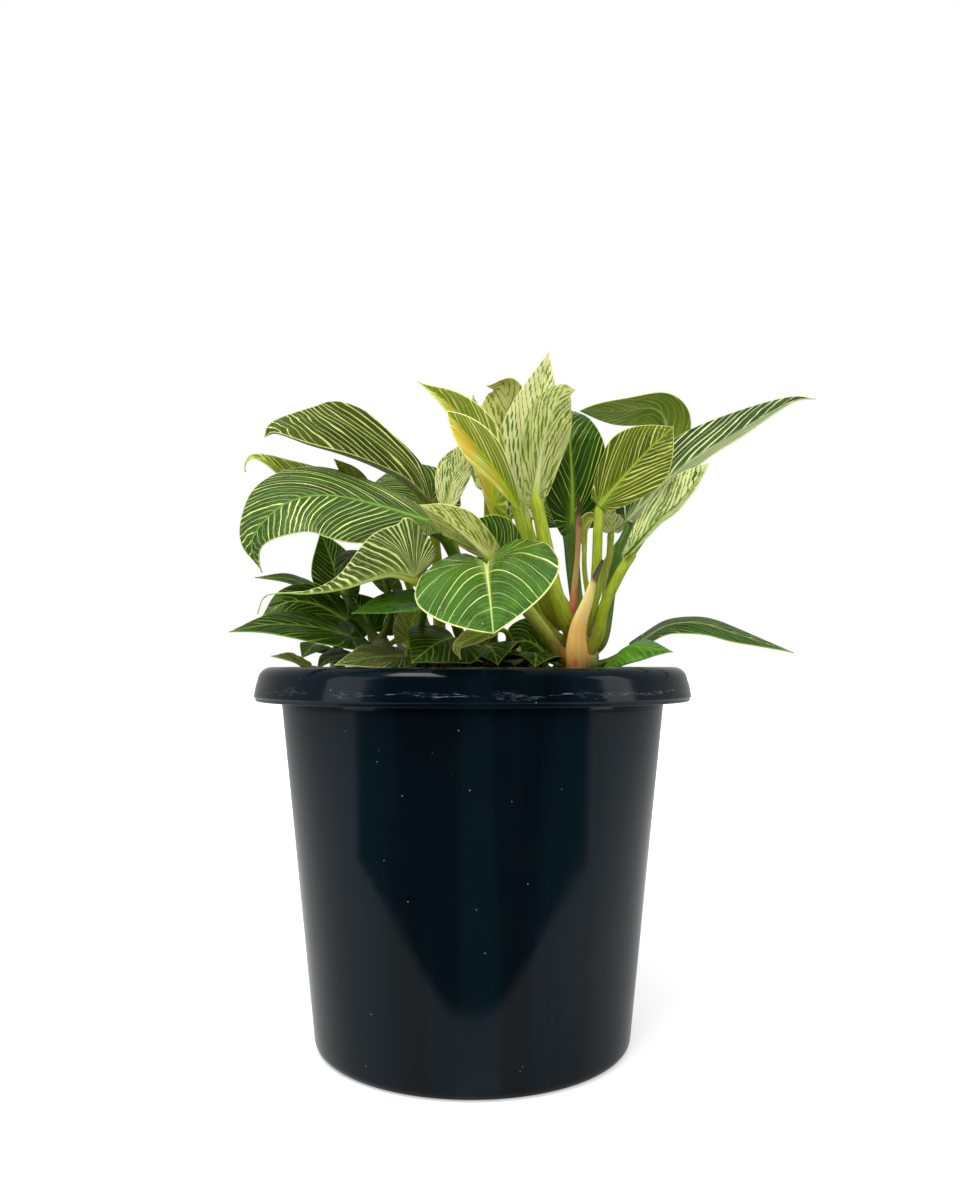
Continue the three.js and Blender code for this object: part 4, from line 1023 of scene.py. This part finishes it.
def sheath_material(name, low, middle, high, tip, red):
    """Papery skin with fine upright ribs, from its foot's colour to its dry tip."""
    shader = Shader(name)
    turn, share, _ = shader.parts(shader.uv("Round"))
    angle = shader.times(turn, 2 * math.pi)
    ring = shader.times(shader.math("SINE", angle), 6.0)
    other = shader.times(shader.math("COSINE", angle), 6.0)
    ribs = shader.noise(shader.vector(ring, other, shader.times(share, 2.0)), detail=3.0)
    blotch = shader.noise(shader.place(), scale=90.0, detail=3.0)
    wander = shader.plus(share, shader.times(shader.math("SUBTRACT", blotch, 0.5), 0.25))
    colour = shader.mix(shader.ramp(wander, 0.15, 0.45), rgba(low), rgba(middle))
    colour = shader.mix(shader.ramp(wander, 0.45, 0.72), colour, rgba(high))
    colour = shader.mix(shader.ramp(wander, 0.78, 0.88), colour, rgba(tip))
    blush = shader.times(shader.ramp(blotch, 0.5, 0.68), shader.ramp(share, 0.75, 0.3, 0.0, 0.75))
    colour = shader.mix(blush, colour, rgba(red))
    colour = shader.mix(shader.ramp(ribs, 0.5, 0.64, 0.0, 0.4), colour, rgba(high))
    shader.set(Base_Color=colour, Roughness=shader.ramp(blotch, 0.3, 0.7, 0.42, 0.62))
    shader.set(Specular_IOR_Level=0.2)
    shader.bump(ribs, 0.0006, 0.6)
    return shader.material


def build_sheath(sheath, material):
    line = Line([crown_point(CROWNS["right"], sheath.foot), *sheath.points])
    count = len(sheath.radii) - 1
    centres = [line.point(i / SHEATH_STEPS) for i in range(SHEATH_STEPS + 1)]
    frames = carried(centres, (0, 1, 0))

    def place(turn, share):
        i = round(share * SHEATH_STEPS)
        angle = 2 * math.pi * turn
        knot = min(int(share * count), count - 1)
        radius = mixed(sheath.radii[knot], sheath.radii[knot + 1], share * count - knot)
        radius *= 1 + 0.025 * math.cos(SHEATH_RIBS * angle)
        _, back, side = frames[i]
        offset = back * math.cos(angle) * sheath.flat + side * math.sin(angle)
        return line.point(share) + offset * radius

    bm = bmesh.new()
    wrapped(bm, SHEATH_SIDES, SHEATH_STEPS, place)
    bmesh.ops.recalc_face_normals(bm, faces=bm.faces)
    return finished(bm, f"sheath_{sheath.name}", f"sheath_{sheath.name}", [material])


# ---- pot and mix --------------------------------------------------------------------------------


def arc(centre, radius, start, end, steps=6):
    """Points of a round corner of a profile, from one angle to another in degrees."""
    angles = [math.radians(mixed(start, end, i / steps)) for i in range(steps + 1)]
    return [(centre[0] + radius * math.cos(a), centre[1] + radius * math.sin(a)) for a in angles]


def spun(bm, profile, sides):
    """The profile's points, in millimetres from the axis and up, spun once round."""
    verts = [bm.verts.new((r * MM, 0, z * MM)) for r, z in profile]
    edges = [bm.edges.new(pair) for pair in zip(verts, verts[1:])]
    bmesh.ops.spin(
        bm, geom=verts + edges, axis=(0, 0, 1), cent=(0, 0, 0), angle=2 * math.pi,
        steps=sides, use_merge=True,
    )
    bmesh.ops.remove_doubles(bm, verts=bm.verts, dist=0.001 * MM)
    bmesh.ops.recalc_face_normals(bm, faces=bm.faces)


def wall_radius(z):
    return mixed(BASE_RADIUS, SHOULDER_RADIUS, z / (POT_HEIGHT - RIM_DEPTH))


def pot_profile():
    under_rim = POT_HEIGHT - RIM_DEPTH
    rim_top = RIM_RADIUS - RIM_LEAN
    inner = SHOULDER_RADIUS - POT_WALL
    gutter = POT_HEIGHT - 2 * POT_WALL
    foot = wall_radius(FOOT_ROUND)
    return [
        (0, 0), (foot - FOOT_ROUND - 6, 0),
        *arc((foot - FOOT_ROUND, FOOT_ROUND), FOOT_ROUND, -90, -6),
        *[(wall_radius(z), z) for z in range(12, under_rim - 4, 8)],
        *arc((SHOULDER_RADIUS + 2, under_rim + 1), 2, 200, 180, 2),
        (SHOULDER_RADIUS, gutter),
        (rim_top - POT_WALL - 3, gutter),
        (rim_top - POT_WALL, gutter - 3),
        (RIM_RADIUS - POT_WALL, under_rim + 1),
        *arc((RIM_RADIUS - 1.2, under_rim + 0.7), 0.7, 180, 360, 6),
        (RIM_RADIUS - 0.15, under_rim + 2.0),
        *[(RIM_RADIUS + 0.4 - 1.4 * share, mixed(under_rim + 2.6, POT_HEIGHT - RIM_ROUND, share))
          for share in (0, 0.25, 0.5, 0.75)],
        *arc((rim_top - RIM_ROUND, POT_HEIGHT - RIM_ROUND), RIM_ROUND, 4, 90, 10),
        (mixed(rim_top, inner, 0.5), POT_HEIGHT),
        *arc((inner + LIP_ROUND, POT_HEIGHT - LIP_ROUND), LIP_ROUND, 90, 180),
        (inner, under_rim), (wall_radius(POT_FLOOR) - POT_WALL, POT_FLOOR), (0, POT_FLOOR),
    ]


def pot_material():
    """Dark blue-green moulded plastic: haze and specks on the wall, and a scraped rim."""
    shader = Shader("pot plastic")
    place = shader.place()
    x, y, z = shader.parts(place)
    height = shader.times(z, 1 / MM)
    angle = shader.math("ARCTAN2", y, x)
    tint = shader.noise(shader.vector(shader.times(angle, 3.5), shader.times(z, 2.0), 1.0), detail=3.0)
    dark, light = (0.0003, 0.0026, 0.0045, 1), (0.0010, 0.0052, 0.0088, 1)
    colour = shader.mix(shader.ramp(tint, 0.4, 0.6), dark, light)
    haze = shader.noise(place, scale=38.0, detail=6.0, roughness=0.7)
    dusty = shader.times(shader.ramp(haze, 0.5, 0.78), 0.003)
    colour = shader.mix(dusty, colour, (0.35, 0.38, 0.38, 1))
    few = shader.ramp(shader.noise(place, scale=60.0), 0.44, 0.5)
    specks = shader.times(shader.dots(place, 120.0, 0.038), few)
    colour = shader.mix(shader.times(specks, 0.55), colour, (0.6, 0.62, 0.58, 1))
    wander = shader.noise(shader.vector(shader.times(angle, 4.0), 0.0, 0.0), detail=3.0)
    line = shader.plus(height, shader.times(shader.math("SUBTRACT", wander, 0.5), -8.0))
    spread = shader.noise(shader.vector(shader.times(angle, 6.0), 4.0, 0.0), detail=2.0)
    reach = shader.ramp(spread, 0.42, 0.68, 0.5, 3.2)
    away = shader.math("ABSOLUTE", shader.math("SUBTRACT", line, 199.0))
    band = shader.ramp(away, reach, shader.times(reach, 0.3))
    scrape = shader.noise(
        shader.vector(shader.times(angle, 22.0), shader.times(height, 1.6), 0.0), detail=7.0, roughness=0.75
    )
    where = shader.ramp(shader.noise(shader.vector(shader.times(angle, 7.0), 9.0, 0.0)), 0.38, 0.6)
    where = shader.times(where, shader.ramp(x, -0.1, 0.1, 0.4, 1.0))
    scuffs = shader.times(shader.times(band, where), shader.ramp(scrape, 0.5, 0.62))
    colour = shader.mix(shader.times(scuffs, 0.5), colour, (0.36, 0.41, 0.46, 1))
    lower = shader.times(shader.ramp(height, 22.0, 6.0), shader.ramp(haze, 0.52, 0.66))
    colour = shader.mix(shader.times(lower, 0.012), colour, (0.2, 0.18, 0.14, 1))
    drawn = shader.vector(shader.times(angle, 7.0), shader.times(height, 0.012), 2.0)
    smear = shader.noise(drawn, detail=3.0)
    rough = shader.plus(shader.ramp(smear, 0.3, 0.7, 0.09, 0.16), shader.times(scuffs, 0.35))
    rough = shader.plus(rough, shader.times(dusty, 12.0))
    shader.set(Base_Color=colour, Roughness=rough, Specular_IOR_Level=0.15)
    waves = shader.noise(place, scale=22.0, detail=2.0)
    shader.bump(shader.plus(shader.times(waves, 0.6), shader.times(scuffs, -0.4)), 0.0004, 0.3)
    return shader.material


def drain_cutter():
    """The plugs that the drain holes are cut with."""
    bm = bmesh.new()
    for i in range(DRAIN_HOLES):
        turn = 2 * math.pi * i / DRAIN_HOLES
        at = Vector((DRAIN_CIRCLE * math.cos(turn), DRAIN_CIRCLE * math.sin(turn), POT_FLOOR / 2)) * MM
        bmesh.ops.create_cone(
            bm, cap_ends=True, segments=32, radius1=DRAIN_RADIUS * MM, radius2=DRAIN_RADIUS * MM,
            depth=POT_FLOOR * 4 * MM, matrix=Matrix.Translation(at),
        )
    mesh = bpy.data.meshes.new("drain plugs")
    bm.to_mesh(mesh)
    bm.free()
    plugs = bpy.data.objects.new("drain plugs", mesh)
    bpy.context.scene.collection.objects.link(plugs)
    return plugs


def settle(piece):
    """Applies the piece's modifiers to its mesh."""
    graph = bpy.context.evaluated_depsgraph_get()
    shaped = bpy.data.meshes.new_from_object(piece.evaluated_get(graph))
    piece.modifiers.clear()
    piece.data = shaped


def build_pot():
    bm = bmesh.new()
    spun(bm, pot_profile(), POT_SIDES)
    pot = finished(bm, "nursery_pot", "pot", [pot_material()])
    plugs = drain_cutter()
    cut = pot.modifiers.new("drains", "BOOLEAN")
    cut.object = plugs
    cut.solver = "EXACT"
    settle(pot)
    bpy.data.objects.remove(plugs)
    for polygon in pot.data.polygons:
        polygon.use_smooth = True
    pot.data.set_sharp_from_angle(angle=math.radians(35))


def mix_material(name, dark, brown, chip):
    shader = Shader(name)
    place = shader.place()
    crumbs = shader.noise(place, scale=420.0, detail=5.0, roughness=0.65)
    damp = shader.noise(place, scale=40.0, detail=2.0)
    colour = shader.mix(shader.ramp(crumbs, 0.35, 0.65), rgba(dark), rgba(brown))
    colour = shader.mix(shader.ramp(crumbs, 0.66, 0.74, 0.0, 0.7), colour, rgba(chip))
    shader.set(Base_Color=colour, Roughness=shader.ramp(damp, 0.3, 0.7, 0.7, 0.95))
    shader.bump(crumbs, 0.0015, 0.8)
    return shader.material


def mound_height(radius):
    for (near, high), (far, low) in zip(MIX_MOUND, MIX_MOUND[1:]):
        if radius <= far:
            return mixed(high, low, (radius - near) / (far - near))
    return MIX_EDGE


def crumbled(x, y):
    """How far the mix's surface lies above or below its plain mound, in millimetres."""
    rough = noise.noise(Vector((x / 9, y / 9, 1.0))) * 1.1
    return rough + noise.noise(Vector((x / 3.2, y / 3.2, 5.0))) * 0.7


def build_mix():
    inner = SHOULDER_RADIUS - POT_WALL - MIX_GAP
    inside = wall_radius(POT_FLOOR) - POT_WALL - MIX_GAP
    bottom = POT_FLOOR + MIX_GAP
    rings = [inner * (1 - i / MIX_RINGS) for i in range(MIX_RINGS + 1)]
    profile = [(0, bottom), (inside, bottom), (inner, POT_HEIGHT - RIM_DEPTH)]
    profile += [(r, mound_height(r)) for r in rings]
    bm = bmesh.new()
    spun(bm, profile, MIX_SIDES)
    for vert in bm.verts:
        x, y, z = vert.co / MM
        if z > MIX_EDGE - 2:
            vert.co.z += (crumbled(x, y) - MIX_SINK) * MM
    damp = mix_material("potting mix", (0.012, 0.008, 0.005), (0.045, 0.028, 0.016), (0.16, 0.10, 0.05))
    return finished(bm, "mix_body", "soil", [damp])


def clear_of_crowns(x, y, reach):
    return all(math.dist((x, y), c.at) > c.radius + reach for c in CROWNS.values())


def build_grains(name, count, sizes, material, seed):
    """Loose lumps lying on the mix: crumbs of bark and peat, or white puffed mineral."""
    draw = random.Random(seed)
    bm = bmesh.new()
    placed = 0
    while placed < count:
        x = draw.uniform(-GRAIN_REACH, GRAIN_REACH)
        y = draw.uniform(-GRAIN_REACH, GRAIN_REACH)
        size = mixed(sizes[0], sizes[1], draw.random() ** 2.5)
        radius = math.hypot(x, y)
        if radius > GRAIN_REACH - size or not clear_of_crowns(x, y, size * 0.6):
            continue
        z = mound_height(radius) + crumbled(x, y) - MIX_SINK + size * 0.25
        axis = (draw.uniform(-1, 1), draw.uniform(-1, 1), draw.uniform(-1, 1))
        turn = Quaternion(axis, draw.uniform(0, 6))
        stretch = Matrix.Diagonal((1, draw.uniform(0.5, 1), draw.uniform(0.35, 0.8), 1))
        at = Matrix.Translation(Vector((x, y, z)) * MM) @ turn.to_matrix().to_4x4() @ stretch
        bmesh.ops.create_icosphere(bm, subdivisions=1, radius=size * MM, matrix=at)
        placed += 1
    for vert in bm.verts:
        vert.co += noise.noise_vector(vert.co / (2 * MM)) * 0.35 * MM
    return finished(bm, name, None, [material], smooth=False)


# ---- studio -------------------------------------------------------------------------------------

CAMERA_DISTANCE = 0.600
CAMERA_HEIGHT = 0.2135
CAMERA_TILT = 0.063
CAMERA_TURN = -0.007
CAMERA_LENS = 30.6
FLOOR_SIZE = 40.0
ROOM_FILL = 0.3


def build_floor():
    """A pale floor that shades over into the white room round it; to glossy rays its patch in front of the
    pot is dark, a painted dark reflection for the pot's wall.
    """
    shader = Shader("studio floor")
    x, y, _ = shader.parts(shader.place())
    squares = shader.plus(shader.times(x, x), shader.times(y, y))
    way = shader.add("ShaderNodeLightPath").outputs
    # Painted dark reflection: the patch of floor in front of the pot is dark only to glossy rays
    side = shader.math("ARCTAN2", shader.math("ABSOLUTE", x), shader.times(y, -1.0))
    past = shader.math("SUBTRACT", squares, shader.times(shader.times(side, side), 0.095))
    painted_reflection_patch = shader.times(shader.ramp(side, 1.25, 1.1), shader.ramp(past, 0.021, 0.032))
    mirrored = shader.ramp(painted_reflection_patch, 0.0, 1.0, 0.7, 0.04)
    tone = shader.plus(0.86, shader.times(way["Is Glossy Ray"], shader.math("SUBTRACT", mirrored, 0.86)))
    shader.set(Base_Color=shader.vector(tone, tone, tone), Roughness=0.8, Emission_Color=(1, 1, 1, 1))
    glow = shader.ramp(squares, 0.02, 0.7, 0.38, 1.0)
    shader.set(Emission_Strength=shader.times(glow, way["Is Camera Ray"]))
    bm = bmesh.new()
    bmesh.ops.create_grid(bm, x_segments=1, y_segments=1, size=FLOOR_SIZE / 2)
    mesh = bpy.data.meshes.new("floor")
    bm.to_mesh(mesh)
    bm.free()
    mesh.materials.append(shader.material)
    floor = bpy.data.objects.new("floor", mesh)
    bpy.context.scene.collection.objects.link(floor)


def add_light(name, place, aim, size, power, mirrored=True):
    data = bpy.data.lights.new(name, "AREA")
    data.shape = "RECTANGLE"
    data.size, data.size_y = size
    data.energy = power
    light = bpy.data.objects.new(name, data)
    light.visible_glossy = mirrored
    light.location = place
    light.rotation_euler = (Vector(aim) - Vector(place)).to_track_quat("-Z", "Y").to_euler()
    bpy.context.scene.collection.objects.link(light)


def build_world():
    """White to the camera; to the plant and pot a pale room that is darker behind the camera."""
    world = bpy.data.worlds.new("studio")
    world.use_nodes = True
    bpy.context.scene.world = world
    tree = world.node_tree
    tree.nodes.clear()
    way = tree.nodes.new("ShaderNodeTexCoord").outputs["Generated"]
    split = tree.nodes.new("ShaderNodeSeparateXYZ")
    tree.links.new(way, split.inputs[0])
    fade = tree.nodes.new("ShaderNodeMapRange")
    fade.interpolation_type = "SMOOTHSTEP"
    for socket, value in zip(list(fade.inputs)[1:5], (-0.9, 0.3, 0.05, 0.45)):
        socket.default_value = value
    tree.links.new(split.outputs[1], fade.inputs[0])
    kind_of_ray = tree.nodes.new("ShaderNodeLightPath").outputs
    fill = tree.nodes.new("ShaderNodeMath")
    fill.operation = "MULTIPLY_ADD"
    tree.links.new(kind_of_ray["Is Diffuse Ray"], fill.inputs[0])
    fill.inputs[1].default_value = ROOM_FILL
    tree.links.new(fade.outputs[0], fill.inputs[2])
    room = tree.nodes.new("ShaderNodeBackground")
    tree.links.new(fill.outputs[0], room.inputs["Strength"])
    white = tree.nodes.new("ShaderNodeBackground")
    for background in (room, white):
        background.inputs["Color"].default_value = (1, 1, 1, 1)
    choice = tree.nodes.new("ShaderNodeMixShader")
    tree.links.new(kind_of_ray["Is Camera Ray"], choice.inputs[0])
    tree.links.new(room.outputs[0], choice.inputs[1])
    tree.links.new(white.outputs[0], choice.inputs[2])
    output = tree.nodes.new("ShaderNodeOutputWorld")
    tree.links.new(choice.outputs[0], output.inputs["Surface"])


def build_studio():
    build_floor()
    build_world()
    add_light("top softbox", (-0.25, -0.45, 1.2), (0, 0, 0.25), (0.7, 0.5), 11)
    add_light("front softbox", (0.1, -1.2, 0.7), (0, 0, 0.3), (1.1, 0.6), 9, mirrored=False)
    add_light("left softbox", (-1.1, -0.5, 0.6), (0, 0, 0.25), (0.5, 1.0), 3)
    add_light("right softbox", (1.2, -0.3, 0.6), (0, 0, 0.25), (0.4, 1.0), 3)
    data = bpy.data.cameras.new("camera")
    data.lens = CAMERA_LENS
    data.sensor_width = 36
    camera = bpy.data.objects.new("camera", data)
    camera.location = (0, -CAMERA_DISTANCE, CAMERA_HEIGHT)
    camera.rotation_euler = (math.pi / 2 + CAMERA_TILT, 0, CAMERA_TURN)
    bpy.context.scene.collection.objects.link(camera)
    bpy.context.scene.camera = camera
    bpy.context.scene.view_settings.view_transform = "Standard"


# ---- the whole ----------------------------------------------------------------------------------

build_leaves()
skin = crown_material()
for crown_name, crown in CROWNS.items():
    build_crown(crown_name, crown, skin)
papery = sheath_material("papery sheath", (0.62, 0.24, 0.09), (0.64, 0.36, 0.08), (0.62, 0.50, 0.17),
                         (0.022, 0.009, 0.008), (0.50, 0.05, 0.03))
reddish = sheath_material("reddish sheath", (0.40, 0.07, 0.04), (0.34, 0.24, 0.06), (0.30, 0.14, 0.06),
                          (0.03, 0.010, 0.009), (0.42, 0.02, 0.03))
build_sheath(SHEATHS[0], papery)
build_sheath(SHEATHS[1], reddish)
build_pot()
build_mix()
bark = mix_material("bark crumbs", (0.02, 0.012, 0.007), (0.08, 0.045, 0.022), (0.22, 0.14, 0.07))
white_chips = mix_material("perlite", (0.45, 0.44, 0.40), (0.65, 0.64, 0.60), (0.75, 0.75, 0.72))
build_grains("mix_crumbs", GRAINS, (0.7, 3.2), bark, 4)
build_grains("mix_perlite", PERLITE, (0.7, 1.8), white_chips, 9)
build_studio()
